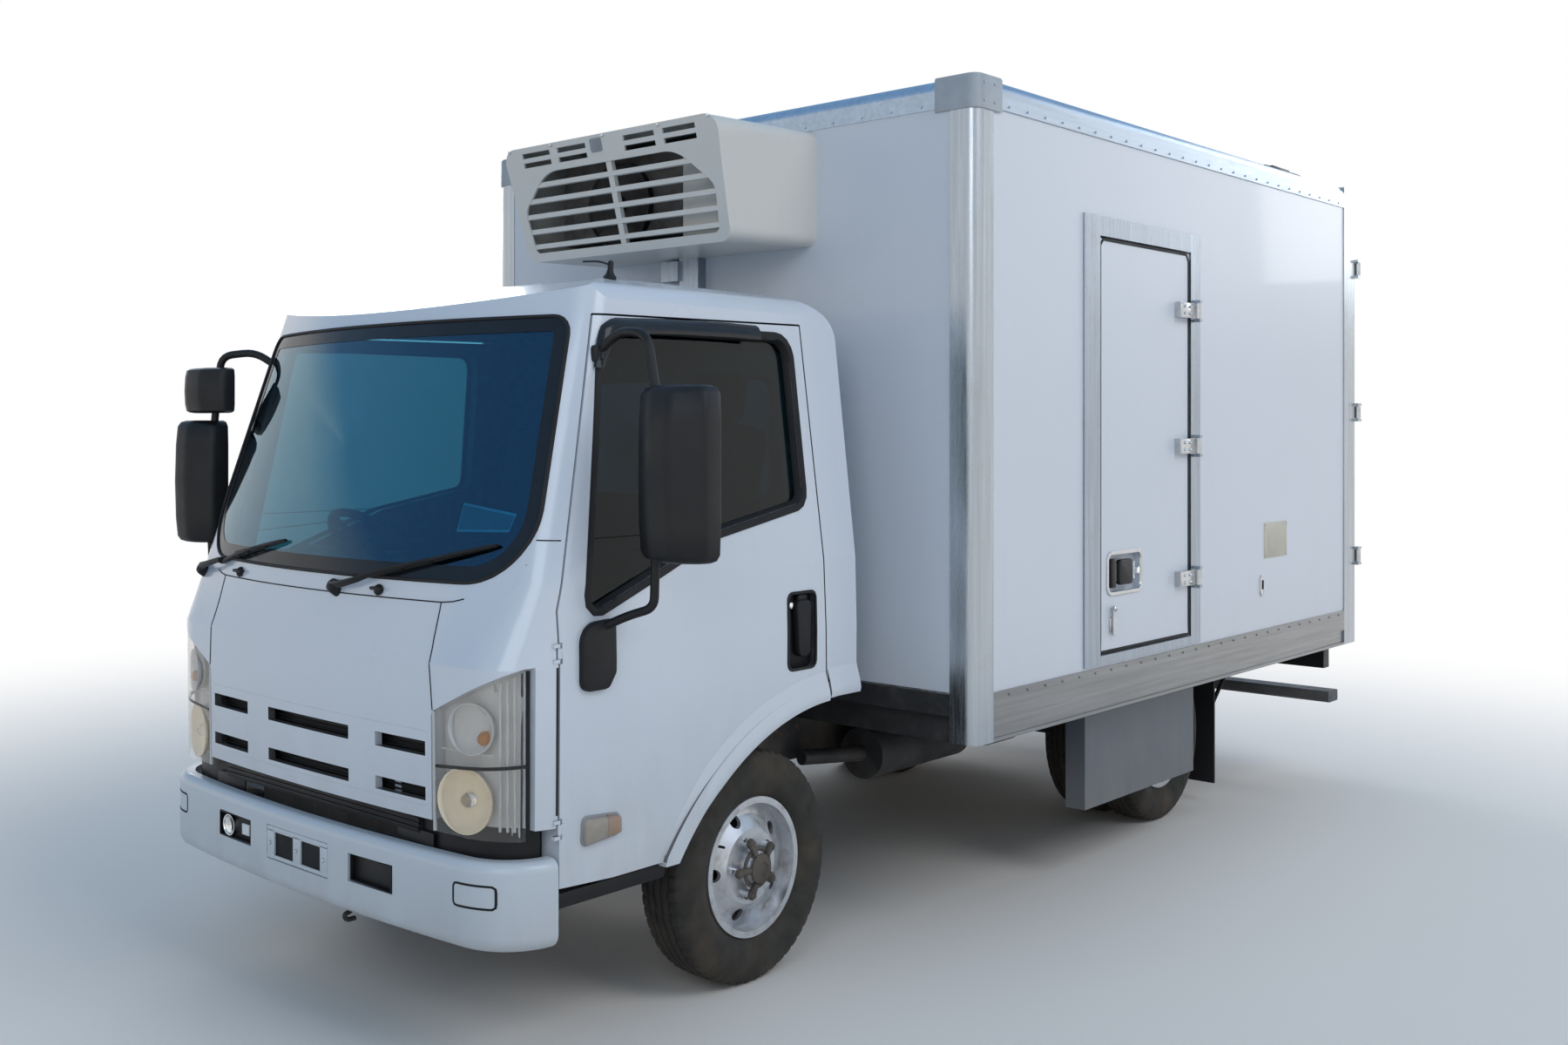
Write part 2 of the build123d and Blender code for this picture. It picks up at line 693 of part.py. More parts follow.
def cab_inside(parts):
    cushion = fillet(block(-250, 250, 160, 640, SEAT_DECK, SEAT_DECK + 150).edges(), 45)
    back = fillet(block(-75, 75, 170, 630, 0, 640).edges(), 45)
    back = Pos(-215, 0, SEAT_DECK + 110) * Rot(0, -12, 0) * back
    rest = fillet(block(-45, 45, 280, 520, 0, 190).edges(), 30)
    rest = Pos(-350, 0, SEAT_DECK + 735) * Rot(0, -12, 0) * rest
    parts["seats"] = Pos(50, 0, 0) * both(cushion + back + rest)
    dash = block(720, 925, -690, 690, 1010, 1265)
    dash = fillet(dash.edges().filter_by(Axis.Y), 60)
    tower = block(760, 900, -120, 120, FOOT_FLOOR, 1030)
    column = rod((770, -400, 1040), (551.4, -400, 1270.7), 40)
    parts["dashboard"] = dash + tower + column
    wheel = Torus(195, 15) + Pos(0, 0, -25) * Cylinder(52, 40)
    for turn in (90, 210, 330):
        wheel += Rot(0, 0, turn) * rod((20, 0, -22), (192, 0, -2), 11)
    parts["steering_wheel"] = Pos(520, -400, 1304) * Rot(0, -43.4, 0) * wheel


def wipers(parts):
    outer = cab_form(0)
    # Each row: pivot y, blade end y, blade end height
    rows = ((135, 700, 1400), (-740, -170, 1375))
    arms = []
    for pivot, end, high in rows:
        hub = rod((940, pivot, 1250), (1082, pivot, 1275), 16)
        blade = rod((1078, pivot, 1272), (1082, end, high), 7)
        arms.append(hub + blade)
    parts["wipers"] = arms[0] - outer + (arms[1] - outer)


def bumper(parts):
    section = (BUMPER_LOW, 890, FRONT_OVERHANG, 60, 205)
    outer = extrude(cab_plan(section, 0), BUMPER_TOP - BUMPER_LOW)
    inner = extrude(cab_plan(section, BUMPER_WALL), BUMPER_TOP - BUMPER_LOW)
    outer = fillet(outer.edges().group_by(Axis.Z)[-1], BUMPER_TOP_ROUND)
    outer = fillet(outer.edges().group_by(Axis.Z)[0], BUMPER_LOW_ROUND)
    bar = (outer - inner) & block(BUMPER_END, 1300, -1000, 1000, 300, 700)
    bar -= both(block(FRONT_OVERHANG - FOG_DEEP, 1300, *FOG_Y, *FOG_Z))
    bar -= block(FRONT_OVERHANG - PLATE_DEEP, 1300, -PLATE_HALF, PLATE_HALF, *PLATE_Z)
    arms = both(block(FRAME_FRONT, FRONT_OVERHANG - BUMPER_WALL + 10, 296, 346, 510, 545))
    parts["front_bumper"] = bar + arms


def load_box(parts):
    front, rear, half = BOX_FRONT, BOX_REAR, BOX_HALF
    skin = half - SKIN_BACK
    rail_in = half - RAIL_DEPTH
    wall_top = BOX_TOP - TOP_RAIL
    portal = rear + PORTAL_DEPTH
    post_back = front - POST
    floor = block(portal, front, -rail_in, rail_in, FLOOR_LOW, FLOOR_TOP)
    for x in BEARER_AT:
        floor += block(x - BEARER_WIDTH / 2, x + BEARER_WIDTH / 2, -BEARER_HALF, BEARER_HALF, FRAME_TOP, FLOOR_LOW)
    post_in = half - POST
    floor -= both(block(post_back, front + 5, post_in, half, FLOOR_LOW - 5, FLOOR_TOP + 5))
    clear = skin - WALL - WEAR_GAP
    floor += block(portal + WEAR_GAP, front - WALL - WEAR_GAP, -clear, clear, FLOOR_TOP, FLOOR_TOP + WEAR_PLATE)
    parts["box_floor"] = floor

    parts["box_front_wall"] = block(front - WALL, front, -post_in, post_in, FLOOR_TOP, wall_top)
    left = block(portal, post_back, skin - WALL, skin, FLOOR_TOP, wall_top)
    parts["box_right_wall"] = mirror(left, about=Plane.XZ)
    left -= block(
        DOOR_REAR - LEAF_GAP, DOOR_FRONT + LEAF_GAP, skin - WALL - 5, half, DOOR_LOW - LEAF_GAP, DOOR_HIGH + LEAF_GAP
    )
    parts["box_left_wall"] = left
    strip = block(FRAME_OUT_REAR, FRAME_OUT_FRONT, skin, skin + FRAME_STRIP, FRAME_OUT_LOW, FRAME_OUT_HIGH)
    strip -= block(
        DOOR_REAR - LEAF_GAP, DOOR_FRONT + LEAF_GAP, skin - 5, half + 20, DOOR_LOW - LEAF_GAP, DOOR_HIGH + LEAF_GAP
    )
    pin_y = skin + PIN_STANDOFF
    for z in SIDE_HINGES:
        for low, high in ((z - HINGE_HALF - 14, z - HINGE_HALF - 2), (z + HINGE_HALF + 2, z + HINGE_HALF + 14)):
            strip += block(SIDE_PIN_X - 14, SIDE_PIN_X + 10, skin, pin_y + 12, low, high)
        strip += rod((SIDE_PIN_X, pin_y, z - HINGE_HALF - 10), (SIDE_PIN_X, pin_y, z + HINGE_HALF + 10), PIN_R)
    parts["side_door_frame"] = strip

    leaf = block(DOOR_REAR, DOOR_FRONT, skin - WALL, skin, DOOR_LOW, DOOR_HIGH)
    for z in SIDE_HINGES:
        low, high = z - HINGE_HALF, z + HINGE_HALF
        leaf += block(DOOR_REAR + 20, DOOR_REAR + 130, skin - 2, pin_y - 4, low, high)
        leaf += block(SIDE_PIN_X, DOOR_REAR + 130, pin_y - 14, pin_y - 4, low, high)
        leaf += rod((SIDE_PIN_X, pin_y, low), (SIDE_PIN_X, pin_y, high), BARREL_R)
        leaf -= rod((SIDE_PIN_X, pin_y, low - 1), (SIDE_PIN_X, pin_y, high + 1), PIN_R + FIT)
    leaf -= block(-1871, -1604, skin - 30, skin + 5, 1109, 1255)
    leaf += block(-1840, -1640, skin - 32, skin - 8, 1150, 1215)
    parts["side_door"] = leaf

    roof_in = half - 82
    parts["box_roof"] = block(portal, front - 82, -roof_in, roof_in, BOX_TOP - 80, BOX_TOP - 10)
    low_rail = block(portal, post_back, rail_in, half, BOX_BOTTOM, FLOOR_TOP)
    low_rail -= block(portal - 5, post_back + 5, half - 8, half + 5, BOX_BOTTOM + 12, BOX_BOTTOM + 70)
    top_rail = block(portal, post_back, roof_in, half, wall_top, BOX_TOP)
    top_rail = fillet(top_rail.edges().filter_by(Axis.X).sort_by(lambda e: e.center().Y + e.center().Z)[-1], 40)
    front_rail = block(front - 82, front + 3, -post_in, post_in, wall_top, BOX_TOP)
    front_rail = fillet(front_rail.edges().filter_by(Axis.Y).sort_by(lambda e: e.center().X + e.center().Z)[-1], 40)
    parts["box_rails"] = both(low_rail) + both(top_rail) + front_rail

    post = block(post_back, front + 3, post_in, half, BOX_BOTTOM, BOX_TOP)
    post -= block(post_back - 5, front - WALL, post_in - 5, skin - WALL, BOX_BOTTOM - 5, BOX_TOP + 5)
    post = fillet(post.edges().filter_by(Axis.Z).sort_by(lambda e: e.center().X + e.center().Y)[-1], 45)
    parts["corner_posts"] = both(post)


def rear_end(parts):
    rear, half = BOX_REAR, BOX_HALF
    portal = rear + PORTAL_DEPTH
    post_in = half - POST
    head_low = BOX_TOP - 135
    frame = block(rear, portal, -half, half, BOX_BOTTOM, BOX_TOP)
    frame -= block(rear - 5, portal + 5, -post_in, post_in, FLOOR_TOP, head_low)
    pin_x = rear - PIN_STANDOFF
    for z in REAR_HINGES:
        for low, high in ((z - HINGE_HALF - 14, z - HINGE_HALF - 2), (z + HINGE_HALF + 2, z + HINGE_HALF + 14)):
            frame += both(block(pin_x - 12, rear + 4, REAR_PIN_Y - REAR_BRACKET, REAR_PIN_Y + 14, low, high))
        pin = rod((pin_x, REAR_PIN_Y, z - HINGE_HALF - 10), (pin_x, REAR_PIN_Y, z + HINGE_HALF + 10), PIN_R)
        frame += both(pin)
    parts["rear_portal"] = frame

    side = post_in - LEAF_SIDE_GAP
    leaf = block(rear + 2, rear + 2 + REAR_LEAF, 4, side, FLOOR_TOP + LEAF_SIDE_GAP, head_low - LEAF_SIDE_GAP)
    for z in REAR_HINGES:
        low, high = z - HINGE_HALF, z + HINGE_HALF
        leaf += block(pin_x + 4, rear + 4, side - 20 - REAR_STRAP, side - 20, low, high)
        leaf += block(pin_x + 4, pin_x + 14, side - 20 - REAR_STRAP, REAR_PIN_Y, low, high)
        leaf += rod((pin_x, REAR_PIN_Y, low), (pin_x, REAR_PIN_Y, high), BARREL_R)
        leaf -= rod((pin_x, REAR_PIN_Y, low - 1), (pin_x, REAR_PIN_Y, high + 1), PIN_R + FIT)
    bar_y, bar_x = 150, rear - 26
    leaf += rod((bar_x, bar_y, FLOOR_TOP + 30), (bar_x, bar_y, head_low - 30), 13)
    for z in (FLOOR_TOP + 80, 1300, 2000, head_low - 80):
        leaf += block(rear - 40, rear + 4, bar_y - 40, bar_y + 40, z - 22, z + 22)
    leaf += block(rear - 38, rear - 24, bar_y, bar_y + 260, 1215, 1250)
    parts["rear_door_left"] = leaf
    parts["rear_door_right"] = mirror(leaf, about=Plane.XZ)

    step = block(REAR_END, REAR_END + 120, -1090, 1090, 375, 430)
    step = fillet(step.edges().filter_by(Axis.Y), 12)
    hangers = both(block(REAR_END + 30, FRAME_BACK + 80, 296, 340, 415, FRAME_LOW))
    parts["rear_step"] = step + hangers

    lamp = block(REAR_END + 200, REAR_END + 268, 840, 1120, 565, FRAME_TOP)
    parts["rear_lamps"] = both(lamp)


def guards(parts):
    y1, y0, sheet = 1055, 975, 4
    x0 = -WHEELBASE + 140
    x1 = x0 + GUARD_LENGTH
    z0, z1 = 272, 625
    tray = block(x0, x1, y0, y1, z0, z1)
    tray -= block(x0 + sheet, x1 - sheet, y0 - 5, y1 - sheet, z0 + sheet, z1 - sheet)
    for x in (x0 + 310, x1 - 56):
        tray += block(x - 20, x + 20, 985, 1025, z1 - 10, FRAME_TOP)
    parts["side_guards"] = both(tray)
    front = -WHEELBASE - TYRE_R - FLAP_CLEAR
    flap = block(front - 12, front, 440, 895, 95, 640)
    flap += block(front - 34, front, FRAME_HALF, 895, 610, 650)
    flap += rod((front - 9, 860, 400), (front - 354, 860, 690), 9)
    flap += block(front - 419, front - 344, 845, 875, 640, FRAME_TOP)
    flap += block(front - 34, front, FRAME_HALF, 400, 560, 650)
    parts["mudflaps"] = both(flap)


def unit_section(x, half_low, half_high, low, high, inset, radius):
    face = rounded(
        (
            (-half_low + inset, low + inset, radius - inset),
            (half_low - inset, low + inset, radius - inset),
            (half_high - inset, high - inset, radius - inset),
            (-half_high + inset, high - inset, radius - inset),
        )
    )
    return Plane((x, 0, 0), x_dir=(0, 1, 0), z_dir=(1, 0, 0)) * face


def unit_front(z):
    return UNIT_FRONT - UNIT_LEAN * (UNIT_TOP - z) / (UNIT_TOP - UNIT_FRONT_LOW)


def unit_form(inset, back):
    body = loft(
        [
            unit_section(back, UNIT_HALF, UNIT_HALF, UNIT_BACK_LOW, UNIT_TOP, inset, 40),
            unit_section(UNIT_FRONT, UNIT_LOW_HALF, UNIT_HALF, UNIT_FRONT_LOW, UNIT_TOP - 10, inset, 55),
        ],
        ruled=True,
    )
    low, high = UNIT_FRONT_LOW - 50, UNIT_TOP
    foot, head = unit_front(low) - inset, unit_front(high) - inset
    side = Polyline((back - 10, low), (foot, low), (head, high), (back - 10, high), close=True)
    return body & along_y(make_face(side), -UNIT_HALF - 10, UNIT_HALF + 10)


def unit_opening():
    return rounded(
        (
            (-462, 2388, 25),
            (462, 2388, 25),
            (478, 2545, 60),
            (330, 2675, 170),
            (-330, 2675, 170),
            (-478, 2545, 60),
        )
    )


def refrigeration(parts):
    cover = unit_form(0, BOX_FRONT) - unit_form(UNIT_SKIN, BOX_FRONT - 4)
    front0, front1 = UNIT_FRONT - UNIT_LEAN - 30, UNIT_FRONT + 60
    cover -= along_x(unit_opening(), front0, front1)
    for side in (-1, 1):
        for z in SLOT_ROWS:
            for y in SLOT_COLUMNS:
                cover -= block(front0, front1, side * y, side * (y + SLOT_LENGTH), z, z + SLOT_HIGH)
    low, high = 2376, 2686
    near, far = BAR_DEEP, BAR_DEEP + BAR_THICK
    upright = Polyline(
        (unit_front(low) - far, low),
        (unit_front(low) - near, low),
        (unit_front(high) - near, high),
        (unit_front(high) - far, high),
        close=True,
    )
    bars = along_y(make_face(upright), -BAR_HIGH * 0.7, BAR_HIGH * 0.7)
    for i in range(BAR_COUNT):
        z = BAR_LOW + i * BAR_PITCH
        bars += block(unit_front(z) - far, unit_front(z) - near, -490, 490, z - BAR_HIGH / 2, z + BAR_HIGH / 2)
    parts["condenser_cover"] = cover + (bars & unit_form(2, BOX_FRONT))
    parts["condenser_core"] = block(BOX_FRONT, UNIT_FRONT - UNIT_LEAN - 50, -370, 370, 2410, 2730)
    parts["evaporator"] = fillet(
        block(BOX_FRONT - WALL - 330, BOX_FRONT - WALL, -600, 600, 2470, 2770).edges().filter_by(Axis.Y), 30
    )
    duct = block(BOX_FRONT, BOX_FRONT + 45, -84, 11, 1000, UNIT_BACK_LOW)
    duct += block(BOX_FRONT, BOX_FRONT + 60, -166, -80, 2285, 2360)
    parts["hose_duct"] = duct - unit_form(0, BOX_FRONT)


def build():
    parts = {}
    wheels(parts)
    left = knuckle()
    parts["knuckle_left"] = left
    parts["knuckle_right"] = mirror(left, about=Plane.XZ)
    axles(parts)
    ladder_frame(parts)
    drive_line(parts)
    cab(parts)
    cab_inside(parts)
    wipers(parts)
    bumper(parts)
    load_box(parts)
    rear_end(parts)
    guards(parts)
    refrigeration(parts)
    return parts


for name, shape in build().items():
    export_step(Pos(FRONT_AXLE_X, 0, 0) * shape, "parts/" + name + ".step")
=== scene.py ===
import math

import bmesh
import bpy
import numpy
from mathutils import Matrix, Vector
from mathutils.bvhtree import BVHTree

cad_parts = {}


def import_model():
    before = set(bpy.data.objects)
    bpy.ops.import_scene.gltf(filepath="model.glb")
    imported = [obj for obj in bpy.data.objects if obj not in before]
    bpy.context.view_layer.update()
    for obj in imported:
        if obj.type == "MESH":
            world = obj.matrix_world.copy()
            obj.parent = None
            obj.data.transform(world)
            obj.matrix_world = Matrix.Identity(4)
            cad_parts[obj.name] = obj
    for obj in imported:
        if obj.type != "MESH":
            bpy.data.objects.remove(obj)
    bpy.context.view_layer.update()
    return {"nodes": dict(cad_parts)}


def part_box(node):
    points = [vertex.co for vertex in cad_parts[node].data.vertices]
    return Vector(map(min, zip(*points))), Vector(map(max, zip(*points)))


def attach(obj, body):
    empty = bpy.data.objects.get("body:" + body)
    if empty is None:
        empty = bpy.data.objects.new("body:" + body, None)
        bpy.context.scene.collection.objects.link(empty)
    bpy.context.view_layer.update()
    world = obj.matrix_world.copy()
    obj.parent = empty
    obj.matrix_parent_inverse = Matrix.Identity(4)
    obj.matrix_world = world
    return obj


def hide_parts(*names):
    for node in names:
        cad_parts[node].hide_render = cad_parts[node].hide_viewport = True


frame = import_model()
nodes = frame["nodes"]

# Places are metres from the front axle: X forward, Y to the truck's left, Z up from the road
rim_low, rim_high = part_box("rim_front_left")
AXLE_X = (rim_low.x + rim_high.x) / 2
AXLE_Z = (rim_low.z + rim_high.z) / 2
WHEELBASE = AXLE_X - (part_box("rims_rear_left")[0].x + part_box("rims_rear_left")[1].x) / 2

# The photograph's camera, in pixels of its 1800 x 1200 frame
PHOTO_WIDTH, PHOTO_HEIGHT = 1800, 1200
FOCAL_PIXELS = 1745.1
CENTRE_U, CENTRE_V = 725.1, 492.3
CAMERA_YAW = math.radians(44.31)
CAMERA_PLACE = (3.642, 3.852, 1.72)
SENSOR = 36


def at(x, y, z):
    return Vector((AXLE_X + x, y, z))


# Shading helpers

class Shade:
    """A principled material with helpers for procedural detail in object space."""

    def __init__(self, name, rough=0.5, metallic=0.0):
        self.material = bpy.data.materials.new(name)
        self.material.use_nodes = True
        self.tree = self.material.node_tree
        self.bsdf = self.tree.nodes["Principled BSDF"]
        self.bsdf.inputs["Roughness"].default_value = rough
        self.bsdf.inputs["Metallic"].default_value = metallic
        self.coords = self.tree.nodes.new("ShaderNodeTexCoord").outputs["Object"]

    def set(self, **values):
        for key, value in values.items():
            self.bsdf.inputs[key.replace("_", " ")].default_value = value
        return self

    def link(self, source, target):
        self.tree.links.new(source, target)

    def stretched(self, scale):
        node = self.tree.nodes.new("ShaderNodeMapping")
        node.inputs["Scale"].default_value = scale
        self.link(self.coords, node.inputs["Vector"])
        return node.outputs["Vector"]

    def noise(self, scale, detail=4.0, stretch=(1, 1, 1)):
        node = self.tree.nodes.new("ShaderNodeTexNoise")
        node.inputs["Scale"].default_value = scale
        node.inputs["Detail"].default_value = detail
        self.link(self.stretched(stretch), node.inputs["Vector"])
        return node.outputs["Fac"]

    def ramp(self, factor, *stops):
        node = self.tree.nodes.new("ShaderNodeValToRGB")
        while len(node.color_ramp.elements) < len(stops):
            node.color_ramp.elements.new(0.5)
        for element, (place, colour) in zip(node.color_ramp.elements, stops):
            element.position = place
            element.color = (*colour, 1) if len(colour) == 3 else colour
        self.link(factor, node.inputs["Fac"])
        return node.outputs["Color"]

    def mask(self, factor, low, high):
        return self.ramp(factor, (low, (0, 0, 0)), (high, (1, 1, 1)))

    def mix(self, factor, first, second):
        node = self.tree.nodes.new("ShaderNodeMix")
        node.data_type = "RGBA"
        for socket, value in (("Factor", factor), ("A", first), ("B", second)):
            self.feed(node, socket, value)
        return next(s for s in node.outputs if s.type == "RGBA")

    def feed(self, node, socket, value):
        kind = "VALUE" if socket == "Factor" else "RGBA"
        target = next(s for s in node.inputs if s.name == socket and s.type == kind)
        if isinstance(value, bpy.types.NodeSocket):
            self.link(value, target)
        else:
            target.default_value = value if kind == "VALUE" else (*value, 1)

    def times(self, first, second, operation="MULTIPLY"):
        node = self.tree.nodes.new("ShaderNodeMath")
        node.operation = operation
        node.use_clamp = True
        for socket, value in zip(node.inputs, (first, second)):
            if isinstance(value, bpy.types.NodeSocket):
                self.link(value, socket)
            else:
                socket.default_value = value
        return node.outputs[0]

    def wave(self, scale, direction, distortion=0.0):
        node = self.tree.nodes.new("ShaderNodeTexWave")
        node.inputs["Scale"].default_value = scale
        node.inputs["Distortion"].default_value = distortion
        node.bands_direction = direction
        self.link(self.coords, node.inputs["Vector"])
        return node.outputs["Fac"]

    def span_mask(self, axis, start, end):
        # Nought at the start of a span along the axis, one from its end on
        split = self.tree.nodes.new("ShaderNodeSeparateXYZ")
        self.link(self.coords, split.inputs[0])
        node = self.tree.nodes.new("ShaderNodeMapRange")
        node.inputs["From Min"].default_value = start
        node.inputs["From Max"].default_value = end
        self.link(split.outputs[axis], node.inputs["Value"])
        return node.outputs[0]

    def inside_mask(self, centre):
        # One on faces that look towards the centre, nought on the outer ones
        place = self.tree.nodes.new("ShaderNodeVectorMath")
        place.operation = "SUBTRACT"
        place.inputs[1].default_value = centre
        self.link(self.coords, place.inputs[0])
        dot = self.tree.nodes.new("ShaderNodeVectorMath")
        dot.operation = "DOT_PRODUCT"
        normal = self.tree.nodes.new("ShaderNodeTexCoord").outputs["Normal"]
        self.link(place.outputs[0], dot.inputs[0])
        self.link(normal, dot.inputs[1])
        return self.times(dot.outputs["Value"], 0, "LESS_THAN")

    def stained(self, base, where, share, colour):
        return self.mix(self.times(where, share), base, colour)

    def colour(self, socket):
        self.link(socket, self.bsdf.inputs["Base Color"])
        return self

    def roughness(self, factor, low, high):
        spread = self.ramp(factor, (0.3, (low,) * 3), (0.7, (high,) * 3))
        self.link(spread, self.bsdf.inputs["Roughness"])
        return self

    def bump(self, height, strength, distance=0.001):
        node = self.tree.nodes.new("ShaderNodeBump")
        node.inputs["Strength"].default_value = strength
        node.inputs["Distance"].default_value = distance
        self.link(height, node.inputs["Height"])
        self.link(node.outputs["Normal"], self.bsdf.inputs["Normal"])
        return self


def shades_of(colour, amount):
    dark = tuple(max(0, c * (1 - amount)) for c in colour)
    light = tuple(min(1, c * (1 + amount)) for c in colour)
    return dark, light


def varied(shade, colour, amount, scale, stretch=(1, 1, 1)):
    dark, light = shades_of(colour, amount)
    return shade.ramp(shade.noise(scale, 5, stretch), (0.3, dark), (0.7, light))


# Kinds of material: a colour is linear red, green and blue, a stretch thins the grain along an axis

ROAD_DUST = (0.30, 0.26, 0.21)
WATER_MARK = (0.42, 0.40, 0.37)
STEEL = (0.50, 0.51, 0.52)
METAL_DIRT = (0.30, 0.28, 0.25)
SILL_DIRT = (0.13, 0.11, 0.09)
SILL_DARK = (0.035, 0.035, 0.036)
TYRE_BLACK = (0.027, 0.0235, 0.019)
TYRE_DUST = (0.098, 0.074, 0.046)
MUD = (0.13, 0.105, 0.08)
RUST = (0.16, 0.065, 0.03)
WHEEL_SILVER = (0.60, 0.61, 0.63)
BRAKE_DUST = (0.17, 0.13, 0.10)
FIN_DARK = (0.02, 0.02, 0.02)
FIN_LIGHT = (0.16, 0.155, 0.15)
EVEN = (1, 1, 1)
LENGTHWISE = (0.03, 1, 1)
UPRIGHT = (1, 1, 0.03)


def paint(name, colour, rough, dirt_top, dirt, coat=0.5, lining=None, proud=None):
    # What stands proud of a panel, such as its hinges and bars, is bare steel
    shade = Shade(name)
    base = varied(shade, colour, 0.014, 0.9)
    if proud:
        bare = shade.span_mask(*proud)
        base = shade.mix(bare, base, varied(shade, STEEL, 0.12, 50))
        shade.link(bare, shade.bsdf.inputs["Metallic"])
    if lining:
        centre, inner = lining
        base = shade.mix(shade.inside_mask(centre), base, varied(shade, inner, 0.2, 30))
    low = shade.times(shade.span_mask("Z", dirt_top, dirt_top * 0.35), shade.noise(9, 6, (1, 1, 0.45)))
    base = shade.stained(base, low, dirt, ROAD_DUST)
    streak = shade.mask(shade.noise(26, 3, (1, 1, 0.06)), 0.56, 0.78)
    base = shade.stained(base, streak, 0.035, WATER_MARK)
    shade.colour(base).roughness(shade.noise(1.2, 1), rough - 0.015, rough + 0.02)
    shade.set(Coat_Weight=coat, Coat_Roughness=0.06)
    return shade.bump(shade.noise(900, 1), 0.015, 0.0002).material


def metal(name, colour, rough, stretch, dirt=0.15, low_painted_reflection=None):
    # A low colour, a painted reflection, takes over from 2.4 m down to 1 m
    shade = Shade(name, metallic=1.0)
    base = varied(shade, colour, 0.10, 60, stretch)
    if low_painted_reflection:
        base = shade.mix(shade.span_mask("Z", 2.4, 1.0), base, varied(shade, low_painted_reflection, 0.14, 60, stretch))
    spots = shade.mask(shade.noise(14, 6), 0.58, 0.75)
    base = shade.stained(base, spots, dirt, METAL_DIRT)
    grain = shade.noise(240, 3, stretch)
    shade.colour(base).roughness(grain, rough - 0.06, rough + 0.10)
    return shade.bump(grain, 0.10, 0.0003).material


def moulded(name, colour, rough, grain=900, amount=0.15):
    shade = Shade(name)
    shade.set(Specular_IOR_Level=0.3)
    shade.colour(varied(shade, colour, amount, 14)).roughness(shade.noise(8, 6), rough - 0.07, rough + 0.1)
    return shade.bump(shade.noise(grain, 3), 0.25, 0.0004).material


def floor_edge(name, alloy, below):
    # Alloy along the sill, dark under it
    shade = Shade(name)
    under = shade.span_mask("Z", below, below - 0.002)
    bright = varied(shade, alloy, 0.12, 40, LENGTHWISE)
    base = shade.mix(under, bright, varied(shade, SILL_DARK, 0.3, 12))
    spots = shade.mask(shade.noise(14, 6), 0.55, 0.75)
    base = shade.stained(base, spots, 0.35, SILL_DIRT)
    shade.link(shade.times(1, under, "SUBTRACT"), shade.bsdf.inputs["Metallic"])
    shade.colour(base).roughness(shade.noise(60, 4, LENGTHWISE), 0.32, 0.55)
    return shade.bump(shade.noise(120, 4), 0.2, 0.0005).material


def tyre_rubber(name):
    shade = Shade(name)
    base = varied(shade, TYRE_BLACK, 0.25, 20)
    dust = shade.mask(shade.noise(7, 7), 0.46, 0.75)
    base = shade.stained(base, dust, 0.55, TYRE_DUST)
    shade.colour(base).roughness(shade.noise(12, 5), 0.72, 0.92)
    return shade.bump(shade.noise(300, 4), 0.3, 0.0006).material


def underside(name, colour, dust):
    shade = Shade(name)
    base = varied(shade, colour, 0.3, 12)
    spots = shade.mask(shade.noise(6, 8), 0.42, 0.72)
    base = shade.stained(base, spots, dust, MUD)
    rust = shade.mask(shade.noise(19, 8), 0.63, 0.74)
    base = shade.stained(base, rust, 0.5, RUST)
    shade.colour(base).roughness(shade.noise(10, 5), 0.5, 0.8)
    return shade.bump(shade.noise(160, 5), 0.35, 0.0008).material


def wheel_paint(name):
    shade = Shade(name, metallic=0.75)
    base = varied(shade, WHEEL_SILVER, 0.08, 12)
    grime = shade.mask(shade.noise(17, 8), 0.5, 0.72)
    base = shade.stained(base, grime, 0.5, BRAKE_DUST)
    shade.colour(base).roughness(shade.noise(30, 5), 0.24, 0.5)
    return shade.bump(shade.noise(260, 3), 0.15, 0.0004).material


def clear(name, colour, rough, ior, streaks, sheen=(1, 1, 1)):
    # The sheen tints what the glass reflects
    shade = Shade(name, rough)
    shade.set(Transmission_Weight=1.0, IOR=ior, Specular_Tint=(*sheen, 1))
    dark, light = shades_of(colour, 0.06)
    shade.colour(shade.ramp(shade.noise(2.2, 4), (0.35, dark), (0.7, light)))
    shade.roughness(shade.noise(6, 7, (1, 1, 0.3)), rough, rough + streaks)
    return shade.bump(shade.noise(1.5, 2), 0.03, 0.002).material


def lens(name, colour):
    shade = Shade(name)
    shade.set(Transmission_Weight=0.75, IOR=1.49)
    shade.colour(varied(shade, colour, 0.12, 40)).roughness(shade.noise(30, 4), 0.08, 0.16)
    return shade.bump(shade.wave(160, "Y"), 0.4, 0.0008).material


def woven(name, colour):
    shade = Shade(name, 0.9)
    dark, light = shades_of(colour, 0.45)
    weave = shade.times(shade.wave(190, "Y", 0.6), shade.wave(190, "Z", 0.6))
    shade.colour(shade.ramp(weave, (0.1, dark), (0.6, light)))
    shade.set(Sheen_Weight=0.1)
    return shade.bump(weave, 0.5, 0.0006).material


def coil_fins(name):
    shade = Shade(name, metallic=0.8)
    fins = shade.wave(120, "Y")
    shade.colour(shade.ramp(fins, (0.2, FIN_DARK), (0.8, FIN_LIGHT)))
    shade.roughness(shade.noise(20, 5), 0.4, 0.7)
    return shade.bump(fins, 0.6, 0.001).material


# Materials

WHITE = (0.69, 0.735, 0.80)
PANEL = (0.70, 0.735, 0.79)
LINED = (at(0.22, 0, 1.45), (0.085, 0.088, 0.094))
# Outer faces of the load box: half width of its skin, back of its doors, face of the side door
BOX_SKIN = 1.187
BOX_REAR = -4.137
REAR_FACE = AXLE_X + BOX_REAR
SIDE_FACE = 1.1882
FLOOR_EDGE = 0.840
mats = {}


def add(kind, *rows):
    # Each row: a material's name and the values that its kind takes
    for name, *values in rows:
        mats[name] = kind(name, *values)


